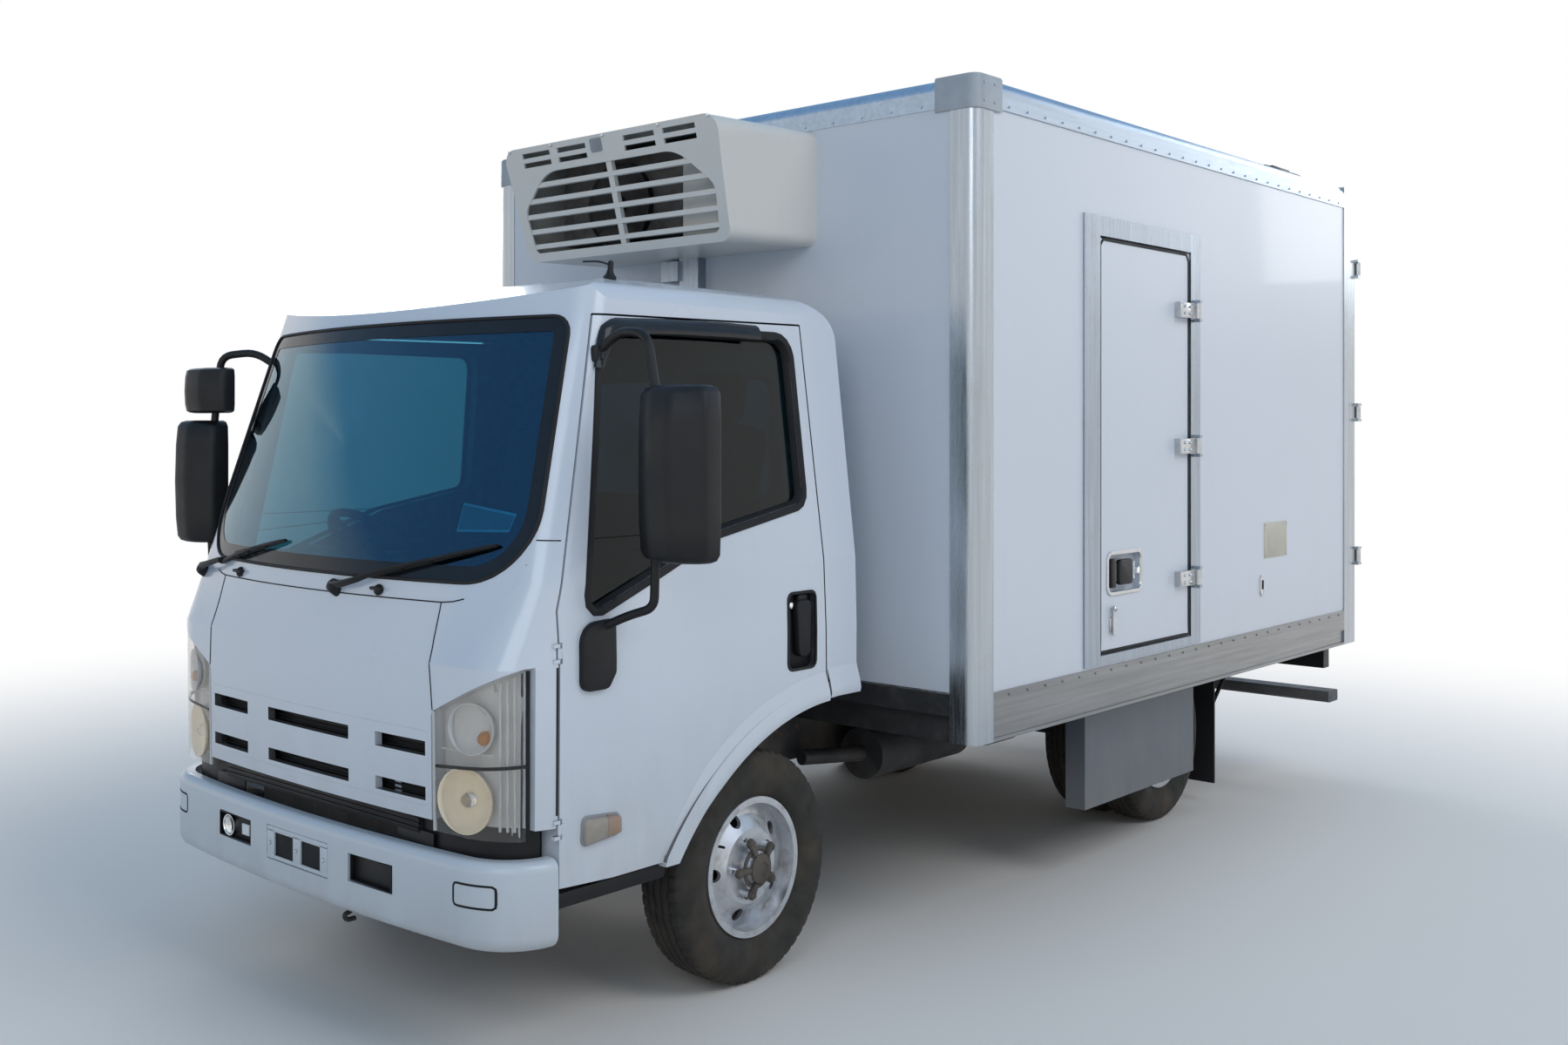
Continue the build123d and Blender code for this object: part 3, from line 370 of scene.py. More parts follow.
# Colour, roughness, top and share of the dirt, coat, lining, and axis and span of what stands proud
add(
    paint,
    ("cab_paint", WHITE, 0.26, 1.0, 0.55, 0.5, LINED),
    ("door_paint", WHITE, 0.26, 1.0, 0.55, 0.5, LINED),
    ("bumper_paint", (0.62, 0.67, 0.72), 0.34, 0.6, 0.7, 0.3),
    ("panel_white", PANEL, 0.36, 1.1, 0.35, 0.25),
    ("side_door_white", PANEL, 0.36, 1.1, 0.35, 0.25, None, ("Y", SIDE_FACE, SIDE_FACE + 0.0004)),
    ("rear_door_white", PANEL, 0.36, 1.1, 0.35, 0.25, None, ("X", REAR_FACE - 0.0005, REAR_FACE - 0.001)),
    ("unit_cream", (0.72, 0.70, 0.65), 0.38, 0.5, 0.0, 0.2),
    ("guard_grey", (0.085, 0.108, 0.138), 0.42, 0.75, 0.6, 0.1),
)
# Colour, roughness, stretch of the grain, dirt, and colour low down, a painted reflection
add(
    metal,
    # The rails' blue is painted sky reflection, and their darker colour low down is painted reflection of the
    # ground
    ("rail_alloy", (0.40, 0.47, 0.55), 0.32, LENGTHWISE, 0.15, (0.27, 0.275, 0.28)),
    ("post_alloy", (0.40, 0.44, 0.48), 0.26, UPRIGHT),
    ("frame_steel", (0.34, 0.39, 0.45), 0.30, (1, 1, 0.05), 0.3),
    ("stainless", (0.56, 0.57, 0.58), 0.24, (1, 1, 0.2)),
    ("chrome", (0.86, 0.86, 0.85), 0.10, EVEN, 0.02),
    ("mirror_glass", (0.80, 0.83, 0.85), 0.08, EVEN, 0.02),
)
# Colour, roughness, scale of the grain, and how far the colour varies
add(
    moulded,
    ("lamp_silver", (0.62, 0.61, 0.59), 0.30, 300, 0.05),
    # Warm colour of the low beam's bowl, a painted reflection
    ("lamp_warm", (0.95, 0.80, 0.58), 0.25, 300, 0.05),
    ("black_plastic", (0.010, 0.010, 0.011), 0.46),
    ("black_rubber", (0.014, 0.014, 0.015), 0.62, 500),
    ("black_gloss", (0.012, 0.015, 0.020), 0.12, 60),
    ("grey_plastic", (0.30, 0.315, 0.33), 0.5),
    ("cap_grey", (0.42, 0.45, 0.48), 0.4, 300, 0.08),
    ("seam_dark", (0.010, 0.011, 0.012), 0.7, 400),
    ("smoke_plastic", (0.018, 0.019, 0.021), 0.16, 80),
    ("dash_plastic", (0.050, 0.053, 0.057), 0.6),
    ("blank_plate", (0.62, 0.57, 0.47), 0.5, 200, 0.06),
    ("card", (0.82, 0.84, 0.85), 0.6, 200, 0.03),
    ("label_grey", (0.30, 0.32, 0.34), 0.6, 200, 0.03),
)
# Colour and share of dust
add(
    underside,
    ("step_steel", (0.10, 0.105, 0.11), 0.3),
    ("chassis_black", (0.020, 0.020, 0.020), 0.45),
    ("engine_iron", (0.060, 0.058, 0.055), 0.5),
    ("tank_grey", (0.030, 0.031, 0.033), 0.4),
    ("hub_grime", (0.075, 0.065, 0.055), 0.7),
)
# Tint, roughness, index, streaks and tint of the reflections
add(
    clear,
    ("screen_glass", (0.10, 0.42, 0.58), 0.0, 1.7, 0.02, (0.34, 0.64, 0.95)),
    ("side_glass", (0.12, 0.18, 0.19), 0.0, 1.30, 0.02),
    ("lamp_cover", (0.98, 0.975, 0.96), 0.04, 1.40, 0.08),
)
add(
    lens,
    ("amber_lens", (0.95, 0.36, 0.06)),
    ("pale_amber_lens", (0.95, 0.80, 0.66)),
    ("red_lens", (0.62, 0.02, 0.02)),
    ("white_lens", (0.90, 0.90, 0.88)),
)
add(floor_edge, ("floor_alloy", (0.48, 0.50, 0.52), FLOOR_EDGE))
add(woven, ("seat_cloth", (0.030, 0.032, 0.036)))
add(tyre_rubber, ("tyre_rubber",))
add(wheel_paint, ("wheel_paint",))
add(coil_fins, ("coil_fins",))

node_materials = {
    "cab_paint": ["cab_shell", "grille_panel"],
    "door_paint": ["door_left", "door_right"],
    "bumper_paint": ["front_bumper"],
    "panel_white": ["box_front_wall", "box_left_wall", "box_right_wall", "box_roof"],
    "side_door_white": ["side_door"],
    "rear_door_white": ["rear_door_left", "rear_door_right"],
    "unit_cream": ["condenser_cover", "evaporator"],
    "guard_grey": ["side_guards"],
    "rail_alloy": ["box_rails"],
    "post_alloy": ["corner_posts", "rear_portal"],
    "frame_steel": ["side_door_frame", "hose_duct"],
    "floor_alloy": ["box_floor"],
    "step_steel": ["rear_step"],
    "chassis_black": [
        "ladder_frame", "cross_members", "cab_hoop", "front_axle", "rear_axle",
        "knuckle_left", "knuckle_right",
    ],
    "engine_iron": ["engine_gearbox"],
    "tank_grey": ["fuel_tank", "exhaust"],
    "black_rubber": ["mudflaps"],
    "wheel_paint": ["rim_front_left", "rim_front_right", "rims_rear_left", "rims_rear_right"],
    "tyre_rubber": ["tyre_front_left", "tyre_front_right", "tyres_rear_left", "tyres_rear_right"],
    "screen_glass": ["cab_glass"],
    "side_glass": ["door_left_glass", "door_right_glass"],
    "lamp_cover": ["headlamps"],
    "dash_plastic": ["dashboard"],
    "black_plastic": ["mirror_left", "mirror_right", "wipers", "steering_wheel", "rear_lamps"],
    "seat_cloth": ["seats"],
    "coil_fins": ["condenser_core"],
}
for material_name, names in node_materials.items():
    for node_name in names:
        slots = nodes[node_name].data.materials
        slots.clear()
        slots.append(mats[material_name])


# Shape helpers

def rounded(corners, steps=6):
    # Outline through (u, v, radius) corners, as points
    points = []
    count = len(corners)
    for i in range(count):
        u, v, radius = corners[i]
        here = Vector((u, v))
        before = (Vector(corners[i - 1][:2]) - here).normalized()
        after = (Vector(corners[(i + 1) % count][:2]) - here).normalized()
        if radius == 0:
            points.append(here)
            continue
        half = before.angle(after) / 2
        run = radius / math.tan(half)
        centre = here + (before + after).normalized() * (radius / math.sin(half))
        first = here + before * run - centre
        turn = first.angle_signed(here + after * run - centre)
        for step in range(steps + 1):
            angle = -turn * step / steps
            points.append(centre + Matrix.Rotation(angle, 2) @ first)
    return points


def resampled(points, step, closed=True):
    # The same outline with evenly spaced points
    line = list(points) + ([points[0]] if closed else [])
    lengths = [(b - a).length for a, b in zip(line, line[1:])]
    count = max(3, round(sum(lengths) / step))
    made = []
    for i in range(count if closed else count + 1):
        want = sum(lengths) * i / count
        k = 0
        while k < len(lengths) - 1 and want > lengths[k]:
            want -= lengths[k]
            k += 1
        made.append(line[k].lerp(line[k + 1], min(1, want / max(lengths[k], 1e-9))))
    return made


def panel_outline(left, right, low, high, radius, step):
    # Rounded rectangle as evenly spaced points
    corners = ((left, low), (right, low), (right, high), (left, high))
    return resampled(rounded([(u, v, radius) for u, v in corners]), step)


def spaced(points, step):
    # Open line through (u, v) points, evenly spaced
    return resampled([Vector(p) for p in points], step, False)


def grown(points, distance):
    # Closed outline moved outwards by the distance
    count = len(points)
    area = sum(points[i - 1].cross(points[i]) for i in range(count))
    sign = 1 if area > 0 else -1
    made = []
    for i in range(count):
        ahead = (points[(i + 1) % count] - points[i - 1]).normalized()
        made.append(points[i] + Vector((ahead.y, -ahead.x)) * distance * sign)
    return made


def bent(points, radius, steps=5):
    # Open path with its corners rounded
    line = [Vector(p) for p in points]
    made = [line[0]]
    for before, here, after in zip(line, line[1:], line[2:]):
        first = here + (before - here).normalized() * radius
        last = here + (after - here).normalized() * radius
        for step in range(steps + 1):
            t = step / steps
            made.append(first.lerp(here, t).lerp(here.lerp(last, t), t))
    return made + [line[-1]]


def surface(*names):
    points, faces = [], []
    for name in names:
        mesh = nodes[name].data
        start = len(points)
        points += [vert.co.copy() for vert in mesh.vertices]
        faces += [[start + i for i in face.vertices] for face in mesh.polygons]
    return BVHTree.FromPolygons(points, faces)


def dropped(tree, start, direction, lift):
    direction = Vector(direction).normalized()
    hit, normal, index, distance = tree.ray_cast(at(*start), direction)
    if hit is None:
        hit, normal, index, distance = tree.find_nearest(at(*start) + direction * 0.9)
    if normal.dot(direction) > 0:
        normal = -normal
    return hit + normal * lift - at(0, 0, 0)


def on_front(tree):
    return lambda u, v, lift: dropped(tree, (2.0, u, v), (-1, 0, 0), lift)


# Half width of the cab's flat sides: height and half width
CAB_SIDE = ((0.48, 0.880), (1.08, 0.885), (1.30, 0.880), (2.23, 0.775))


def on_door(u, v, lift):
    for (low, first), (high, last) in zip(CAB_SIDE, CAB_SIDE[1:]):
        if v <= high:
            break
    return Vector((u, first + (last - first) * (v - low) / (high - low) + lift, v))


def on_box(u, v, lift):
    return Vector((u, BOX_SKIN + lift, v))


def on_back(u, v, lift):
    return Vector((BOX_REAR - lift, u, v))


class Model:
    """One piece in metres from the front axle, made of parts with their own materials."""

    def __init__(self):
        self.mesh = bmesh.new()
        self.used = []

    def index(self, material):
        if material not in self.used:
            self.used.append(material)
        return self.used.index(material)

    def skin(self, rows, material, ring=True, around=False, caps=True):
        verts = [[self.mesh.verts.new(point) for point in row] for row in rows]
        index = self.index(material)
        count = len(rows[0])
        pairs = list(zip(verts, verts[1:]))
        if around:
            pairs.append((verts[-1], verts[0]))
        for first, second in pairs:
            for i in range(count if ring else count - 1):
                j = (i + 1) % count
                self.mesh.faces.new((first[i], first[j], second[j], second[i])).material_index = index
        if ring and caps and not around:
            for row in (verts[0][::-1], verts[-1]):
                self.mesh.faces.new(row).material_index = index
        return self

    def tube(self, path, radius, material, sides=10, closed=False, flat=1.0, across=None):
        points = [Vector(p) for p in path]
        count = len(points)
        side = Vector(across) if across else None
        rows = []
        for i, point in enumerate(points):
            if closed:
                ahead = points[(i + 1) % count] - points[i - 1]
            else:
                ahead = points[min(i + 1, count - 1)] - points[max(i - 1, 0)]
            ahead.normalize()
            side = side or ahead.orthogonal()
            side = (side - ahead * side.dot(ahead)).normalized()
            up = ahead.cross(side)
            size = radius[i] if isinstance(radius, (list, tuple)) else radius
            turns = [2 * math.pi * k / sides for k in range(sides)]
            rows.append([point + side * math.cos(a) * size + up * math.sin(a) * size * flat for a in turns])
        return self.skin(rows, material, around=closed)

    def lathe(self, profile, place, axis, material, sides=24):
        # Spun from (radius, height along the axis) points
        axis = Vector(axis).normalized()
        side = axis.orthogonal().normalized()
        up = axis.cross(side)
        turns = [2 * math.pi * k / sides for k in range(sides)]
        rows = []
        for radius, high in profile:
            middle = Vector(place) + axis * high
            size = max(radius, 0.0004)
            rows.append([middle + (side * math.cos(a) + up * math.sin(a)) * size for a in turns])
        return self.skin(rows, material)

    def slab(self, low, high, material, edge=0.004, steps=2, turn=None):
        part = bmesh.new()
        bmesh.ops.create_cube(part, size=1)
        low, high = Vector(low), Vector(high)
        size = high - low
        for vert in part.verts:
            vert.co = (low + high) / 2 + Vector(a * b for a, b in zip(vert.co, size))
        bmesh.ops.bevel(part, geom=part.edges[:], offset=edge, segments=steps, profile=0.5, affect="EDGES")
        if turn is not None:
            bmesh.ops.transform(part, matrix=turn, verts=part.verts)
        return self.absorb(part, material)

    def absorb(self, part, material):
        index = self.index(material)
        for face in part.faces:
            face.material_index = index
        mesh = bpy.data.meshes.new("part")
        part.to_mesh(mesh)
        part.free()
        self.mesh.from_mesh(mesh)
        bpy.data.meshes.remove(mesh)
        return self

    def plate(self, outline, place, low, high, material, edge=0.002):
        inner = grown(outline, -edge)
        rows = [
            [place(u, v, low) for u, v in outline],
            [place(u, v, high - edge) for u, v in outline],
            [place(u, v, high - edge * 0.3) for u, v in grown(outline, -edge * 0.35)],
            [place(u, v, high) for u, v in inner],
        ]
        return self.skin(rows, material)

    def rim(self, outline, place, steps, material):
        # Closed band round an outline, through (outwards, lift) corners
        rows = [[place(u, v, lift) for u, v in grown(outline, out)] for out, lift in steps]
        return self.skin(rows, material, around=True)

    def bolts(self, places, axis, radius, material, sides=6):
        profile = ((radius, 0), (radius, radius * 0.7), (radius * 0.8, radius), (0, radius))
        for place in places:
            self.lathe(profile, place, axis, material, sides)
        return self

    def flipped(self):
        copy = Model()
        copy.used = list(self.used)
        copy.mesh = self.mesh.copy()
        for vert in copy.mesh.verts:
            vert.co.y = -vert.co.y
        bmesh.ops.reverse_faces(copy.mesh, faces=copy.mesh.faces[:])
        return copy

    def double(self):
        mesh = bpy.data.meshes.new("half")
        self.flipped().mesh.to_mesh(mesh)
        self.mesh.from_mesh(mesh)
        bpy.data.meshes.remove(mesh)
        return self

    def piece(self, name, body, slot, replaced=(), smooth=38):
        bmesh.ops.recalc_face_normals(self.mesh, faces=self.mesh.faces[:])
        bmesh.ops.translate(self.mesh, vec=at(0, 0, 0), verts=self.mesh.verts[:])
        mesh = bpy.data.meshes.new(name)
        self.mesh.to_mesh(mesh)
        for material in self.used:
            mesh.materials.append(mats[material])
        mesh.polygons.foreach_set("use_smooth", [True] * len(mesh.polygons))
        mesh.set_sharp_from_angle(angle=math.radians(smooth))
        made = bpy.data.objects.new(name, mesh)
        bpy.context.scene.collection.objects.link(made)
        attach(made, body)
        if replaced:
            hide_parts(*replaced)
        return made

    def pair(self, name, body, slot):
        # The left piece and its mirror image on the right
        other = self.flipped()
        for model, side in ((self, "_left"), (other, "_right")):
            model.piece(name + side, body + side, slot)


# Cab front

front_skin = surface("cab_shell", "cab_glass", "grille_panel", "headlamps")
# Panes: corners as across, height and radius
SCREEN = ((-0.825, 1.298, 0.185), (0.825, 1.298, 0.185), (0.741, 2.040, 0.06), (-0.741, 2.040, 0.06))
REAR_WINDOW = ((-0.560, 1.480, 0.06), (0.560, 1.480, 0.06), (0.560, 1.890, 0.06), (-0.560, 1.890, 0.06))
GLASS_THICK = 0.006
SCREEN_MIDDLE = 1.67
REAR_MIDDLE = 1.685
# Shares of the way from a pane's middle to its edge at which it has a ring of points
PANE_RINGS = (0.02, 0.2, 0.4, 0.6, 0.8, 0.93, 1.0)
# Shares at which the curve of a pane is read from its solid
FIT_RINGS = (0.1, 0.3, 0.5, 0.7, 0.9)
# Black border's section: outwards and lift
BORDER = (
    (0, 0.0002), (0, 0.0014), (-0.014, 0.0014), (-0.028, 0.0014), (-0.042, 0.0014), (-0.042, 0.0002),
    (-0.028, 0.0002), (-0.014, 0.0002),
)


def glass_curve(outline, start, middle):
    # Even curve through the outer face of the solid pane, as x over y and z
    tree = surface("cab_glass")

    def terms(u, v):
        high = v - middle
        return (1, high, high ** 2, u ** 2, u ** 2 * high, u ** 4)

    rows = []
    found = []
    for share in FIT_RINGS:
        for point in outline:
            u, v = point.x * share, middle + (point.y - middle) * share
            rows.append(terms(u, v))
            found.append(dropped(tree, (start, u, v), (-1, 0, 0), 0).x)
    weights = numpy.linalg.lstsq(numpy.array(rows), numpy.array(found), rcond=None)[0]
    return lambda u, v, lift: Vector((float(numpy.dot(weights, terms(u, v))) + lift, u, v))


def panes():
    made = Model()
    for corners, start, middle in ((SCREEN, 2.0, SCREEN_MIDDLE), (REAR_WINDOW, 0.0, REAR_MIDDLE)):
        outline = grown(resampled(rounded(corners, 10), 0.03), -0.0004)
        face = glass_curve(outline, start, middle)
        centre = Vector((0, middle))
        rows = []
        for lift, rings in ((0, PANE_RINGS), (-GLASS_THICK, PANE_RINGS[::-1])):
            for share in rings:
                rows.append([face(*(centre + (point - centre) * share), lift) for point in outline])
        made.skin(rows, "screen_glass")
    made.piece("cab_panes", "cab", "cab_glass", ["cab_glass"])


def screen_trim():
    outline = resampled(rounded(SCREEN, 10), 0.018)
    glass = glass_curve(outline, 2.0, SCREEN_MIDDLE)
    border = Model()
    border.rim(grown(outline, -0.002), glass, BORDER, "black_gloss")
    border.piece("screen_border", "cab", "black_plastic")
    seal = Model()
    seal.tube([glass(u, v, 0.0025) for u, v in outline], 0.0058, "black_rubber", 8, True, 0.8)
    seal.piece("screen_seal", "cab", "rubber")


# Seams of the front as across and height: half of the scuttle's, the panel's side, the pillar's foot
SCUTTLE_SEAM = ((0.634, 1.256), (0.600, 1.247), (0.560, 1.243), (0, 1.243))
PANEL_SEAM = ((0.578, 0.955), (0.570, 1.05), (0.562, 1.15), (0.560, 1.243))
PILLAR_SEAM = ((0.806, 1.419), (0.840, 1.418), (0.872, 1.417))
SEAM_R = 0.0019
NOZZLES = (-0.435, 0.322)
NOZZLE_Z = 1.262
NOZZLE_DOME = ((0.017, -0.004), (0.017, 0.004), (0.012, 0.012), (0.006, 0.016), (0, 0.017))


def mirrored(path):
    return [(-u, v) for u, v in path]


def front_seams():
    skin = on_front(front_skin)
    scuttle = list(SCUTTLE_SEAM) + mirrored(SCUTTLE_SEAM[-2::-1])
    seams = Model()
    for path in (scuttle, PANEL_SEAM, mirrored(PANEL_SEAM), PILLAR_SEAM, mirrored(PILLAR_SEAM)):
        seams.tube([skin(u, v, 0.0002) for u, v in spaced(path, 0.012)], SEAM_R, "seam_dark", 6)
    seams.piece("front_seams", "cab", "black_plastic")
    nozzles = Model()
    for y in NOZZLES:
        base = skin(y, NOZZLE_Z, 0)
        nozzles.lathe(NOZZLE_DOME, base, (0.75, 0, 0.66), "black_plastic", 16)
        low = (base.x + 0.002, y - 0.024, NOZZLE_Z)
        high = (base.x + 0.02, y + 0.024, NOZZLE_Z + 0.010)
        nozzles.slab(low, high, "black_plastic", 0.004)
    nozzles.piece("washer_nozzles", "cab", "black_plastic")


def nose(y, back):
    # Front of the cab in plan, a distance behind its skin
    return 1.080 - 0.045 * (y / 0.885) ** 2 - back


# Dark backing behind the grille slots: half width, foot, top, depth and thickness
BACKING = (0.556, 0.695, 0.890, 0.046, 0.006)
BACKING_RIBS = 14
# Slabs of the opening above the bumper: back, front, left, right, low, high
LOWER_SLABS = (
    (1.042, 1.049, -0.5, 0.5, 0.603, 0.656),
    (1.046, 1.054, -0.5, 0.5, 0.612, 0.618),
    (1.046, 1.054, -0.5, 0.5, 0.627, 0.633),
    (1.046, 1.054, -0.5, 0.5, 0.642, 0.648),
    (1.040, 1.046, -0.560, -0.398, 0.556, 0.612),
    (1.040, 1.046, 0.398, 0.560, 0.556, 0.612),
)
# Plan of the black strip under a headlamp, a dark sheet that is painted shadow in the gap above the bumper, x
# and y; its foot, top and thickness
SHADOW_STRIP_PLAN = ((1.035, 0.50), (1.032, 0.60), (1.015, 0.70), (0.985, 0.77), (0.940, 0.815), (0.900, 0.830))
SHADOW_STRIP_LOW, SHADOW_STRIP_HIGH, SHADOW_STRIP_THICK = 0.556, 0.655, 0.005


def grille_back():
    half, low, high, deep, thick = BACKING
    columns = [-half + 2 * half * i / 28 for i in range(29)]
    back = Model()
    rows = []
    for z, behind in ((low, deep + thick), (low, deep), (high, deep), (high, deep + thick)):
        rows.append([Vector((nose(y, behind), y, z)) for y in columns])
    back.skin(rows, "black_plastic", False, True)
    for i in range(BACKING_RIBS):
        z = low + 0.009 + i * 0.0135
        back.tube([Vector((nose(y, deep - 0.002), y, z)) for y in columns], 0.0035, "seam_dark", 6)
    for rear, front, left, right, foot, top in LOWER_SLABS:
        back.slab((rear, left, foot), (front, right, top), "black_plastic", 0.002)
    back.piece("grille_backing", "cab", "black_plastic")
    # Black strip under each headlamp, a painted shadow
    shadow_strip = Model()
    section = ((SHADOW_STRIP_LOW, 0), (SHADOW_STRIP_HIGH, 0), (SHADOW_STRIP_HIGH, SHADOW_STRIP_THICK), (SHADOW_STRIP_LOW, SHADOW_STRIP_THICK))
    rows = []
    for z, inwards in section:
        rows.append([Vector((x - inwards, y - inwards * 0.5, z)) for x, y in spaced(SHADOW_STRIP_PLAN, 0.02)])
    shadow_strip.skin(list(zip(*rows)), "black_plastic")
    shadow_strip.double()
    shadow_strip.piece("lamp_shadow_strips", "cab", "black_plastic")


# Each row: pivot y and z, blade's far end y and z, blade's near end as a share of the way
WIPERS = ((0.135, 1.255, 0.700, 1.400, 0.30), (-0.768, 1.241, -0.170, 1.375, 0.28))
WIPER_CAP = ((0.022, -0.012), (0.022, 0.012), (0.019, 0.024), (0.010, 0.030), (0, 0.031))
WIPER_AXIS = Vector((0.82, 0, 0.57))
ARM_RADII = [0.015, 0.013, 0.011, 0.009, 0.008, 0.007, 0.006]
BLADE_STEPS = 12


def wiper(made, glass, pivot_y, pivot_z, end_y, end_z, near):
    def spot(share, lift):
        return glass(pivot_y + (end_y - pivot_y) * share, pivot_z + (end_z - pivot_z) * share, lift)

    hub = glass(pivot_y, pivot_z, 0)
    made.lathe(WIPER_CAP, hub, WIPER_AXIS, "black_plastic", 20)
    middle = (1 + near) / 2
    arm = [hub + WIPER_AXIS * 0.018] + [spot(middle * k / 6, 0.036 - 0.010 * k / 6) for k in range(1, 7)]
    made.tube(arm, ARM_RADII, "black_plastic", 8, False, 0.55)
    shares = [near + (1 - near) * k / BLADE_STEPS for k in range(BLADE_STEPS + 1)]
    rubber = [spot(share, 0.0055) for share in shares]
    made.tube(rubber, 0.0045, "black_rubber", 8)
    bridge = [spot(s, 0.013 + 0.011 * math.sin(math.pi * k / BLADE_STEPS)) for k, s in enumerate(shares)]
    made.tube(bridge, [0.003] + [0.0052] * (BLADE_STEPS - 1) + [0.003], "black_plastic", 8)
    for k in range(0, BLADE_STEPS + 1, 3):
        made.tube([rubber[k], bridge[k]], 0.0045, "black_plastic", 6)


def wiper_set():
    glass = on_front(surface("cab_glass", "cab_shell"))
    made = Model()
    for row in WIPERS:
        wiper(made, glass, *row)
    made.piece("wiper_pair", "cab", "black_plastic", ["wipers"])


# Headlamp corner: axis that its columns look at, and the turns of its inner and outer edges
LAMP_AXIS = (0.800, 0.620)
LAMP_TURN = (math.radians(-9), math.radians(56))
LAMP_LOW = 0.628
LAMP_SPLIT = 0.815
LAMP_WALL = 0.948
LAMP_TOP = (0.952, 1.080)
LAMP_LEDGE = 0.851
LAMP_COLUMNS, LAMP_ROWS = 20, 12
# Each row: bowl's share across, height, radius and finish; bulb's share across, height, radius and material.
# The low bowl's warm finish is a painted reflection
LAMP_BOWLS = (
    (0.36, 0.722, 0.086, "lamp_warm", 0.36, 0.722, 0.020, "lamp_cover"),
    (0.44, 0.918, 0.068, "lamp_silver", 0.57, 0.893, 0.019, "amber_lens"),
)
# Bowl's section: share of its radius, and depth; bulb's section likewise
BOWL = (
    (0.2, 0.0), (0.55, 0.006), (0.85, 0.018), (1, 0.032),
    (1.04, 0.032), (1.04, 0.024), (0.9, 0.006), (0.5, -0.004),
)
BULB = ((1, 0.0), (1, 0.014), (0.8, 0.025), (0.4, 0.030), (0, 0.031))


def headlamps():
    tree = surface("cab_shell", "headlamps")

    def top(share):
        return LAMP_TOP[0] + (LAMP_TOP[1] - LAMP_TOP[0]) * min(1, share * 1.15)

    def facing(share):
        turn = LAMP_TURN[0] + (LAMP_TURN[1] - LAMP_TURN[0]) * share
        return Vector((math.cos(turn), math.sin(turn), 0))

    def spot(share, z, lift):
        out = facing(share)
        start = (LAMP_AXIS[0] + out.x, LAMP_AXIS[1] + out.y, z)
        found = dropped(tree, start, -out, lift)
        found.x = max(found.x, LAMP_WALL)
        return found

    def upright(share, low, high, steps, lift):
        return [spot(share, low + (high - low) * k / steps, lift) for k in range(steps + 1)]

    def sheet(lift):
        shares = [0.004 + 0.992 * i / LAMP_COLUMNS for i in range(LAMP_COLUMNS + 1)]
        return list(zip(*[upright(s, LAMP_LOW, top(s), LAMP_ROWS, lift) for s in shares]))

    made = Model()
    for near, far, material in ((-0.001, -0.004, "lamp_cover"), (-0.046, -0.050, "lamp_silver")):
        made.skin([first + second[::-1] for first, second in zip(sheet(near), sheet(far))], material)
    bar = [spot(i / 24, LAMP_SPLIT - 0.012 + 0.024 * i / 24, -0.006) for i in range(25)]
    made.tube(bar, 0.006, "seam_dark", 8, False, 0.7)
    for share, material in ((0.0, "lamp_silver"), (1.0, "seam_dark")):
        made.tube(upright(abs(share - 0.012), LAMP_LOW, top(share), 14, -0.004), 0.006, material, 8)
    for share, z, size, finish, bulb_share, bulb_z, bulb_r, bulb in LAMP_BOWLS:
        look = facing(share)
        made.lathe([(size * r, deep) for r, deep in BOWL], spot(share, z, -0.040), look, finish, 40)
        dome = [(bulb_r * r, deep) for r, deep in BULB]
        made.lathe(dome, spot(bulb_share, bulb_z, -0.040), look, bulb, 20)
    # Upright ribs of the side marker, and the ledge over the divider
    for share in (0.74, 0.81, 0.88):
        made.tube(upright(share, LAMP_LOW + 0.02, top(share) - 0.02, 10, -0.026), 0.004, "lamp_silver", 8)
    ledge = [spot(0.05 + 0.64 * k / 16, LAMP_LEDGE, -0.022) for k in range(17)]
    made.tube(ledge, 0.003, "lamp_silver", 8)
    made.double()
    made.piece("headlamp_pair", "cab", "lamp_clear", ["headlamps"])


panes()
screen_trim()
front_seams()
grille_back()
wiper_set()
headlamps()


# Doors

# Window opening of a door, and its seal's section: outwards and lift
DOOR_WINDOW = (
    (0.768, 1.212, 0.03), (0.628, 2.004, 0.05), (-0.198, 2.004, 0.06),
    (-0.204, 1.488, 0.04), (0.223, 1.414, 0.15),
)
WINDOW_SEAL = (
    (0.024, -0.002), (0.023, 0.003), (0.016, 0.0045), (0.002, 0.003), (-0.007, -0.012), (-0.009, -0.0225),
    (0.002, -0.0225),
)
# Weather shield: its path over the door, and its section as drop and lift
SHIELD_PATH = (
    (0.672, 1.890), (0.652, 1.965), (0.632, 2.005), (0.590, 2.026),
    (0.35, 2.034), (0.10, 2.036), (-0.045, 2.034),
)
SHIELD_SECTION = (
    (-0.010, 0.003), (-0.004, 0.012), (0.014, 0.021), (0.036, 0.020),
    (0.037, 0.017), (0.014, 0.018), (-0.010, 0.001),
)


def door_trim():
    seal = Model()
    seal.rim(resampled(rounded(DOOR_WINDOW, 8), 0.022), on_door, WINDOW_SEAL, "black_rubber")
    seal.pair("window_seal", "door", "rubber")
    shield = Model()
    points = spaced(SHIELD_PATH, 0.02)
    last = len(points) - 1
    rows = []
    for drop, lift in SHIELD_SECTION:
        row = []
        for i, (u, v) in enumerate(points):
            # The lip widens from the shield's foot
            wide = min(1, 0.3 + 6 * (i / last)) if drop > 0 else 1
            along = (points[min(i + 1, last)] - points[max(i - 1, 0)]).normalized()
            down = Vector((-along.y, along.x)) * drop * wide
            row.append(on_door(u + down.x, v + down.y, lift))
        rows.append(row)
    shield.skin(list(zip(*rows)), "smoke_plastic")
    shield.pair("weather_shield", "door", "black_plastic")


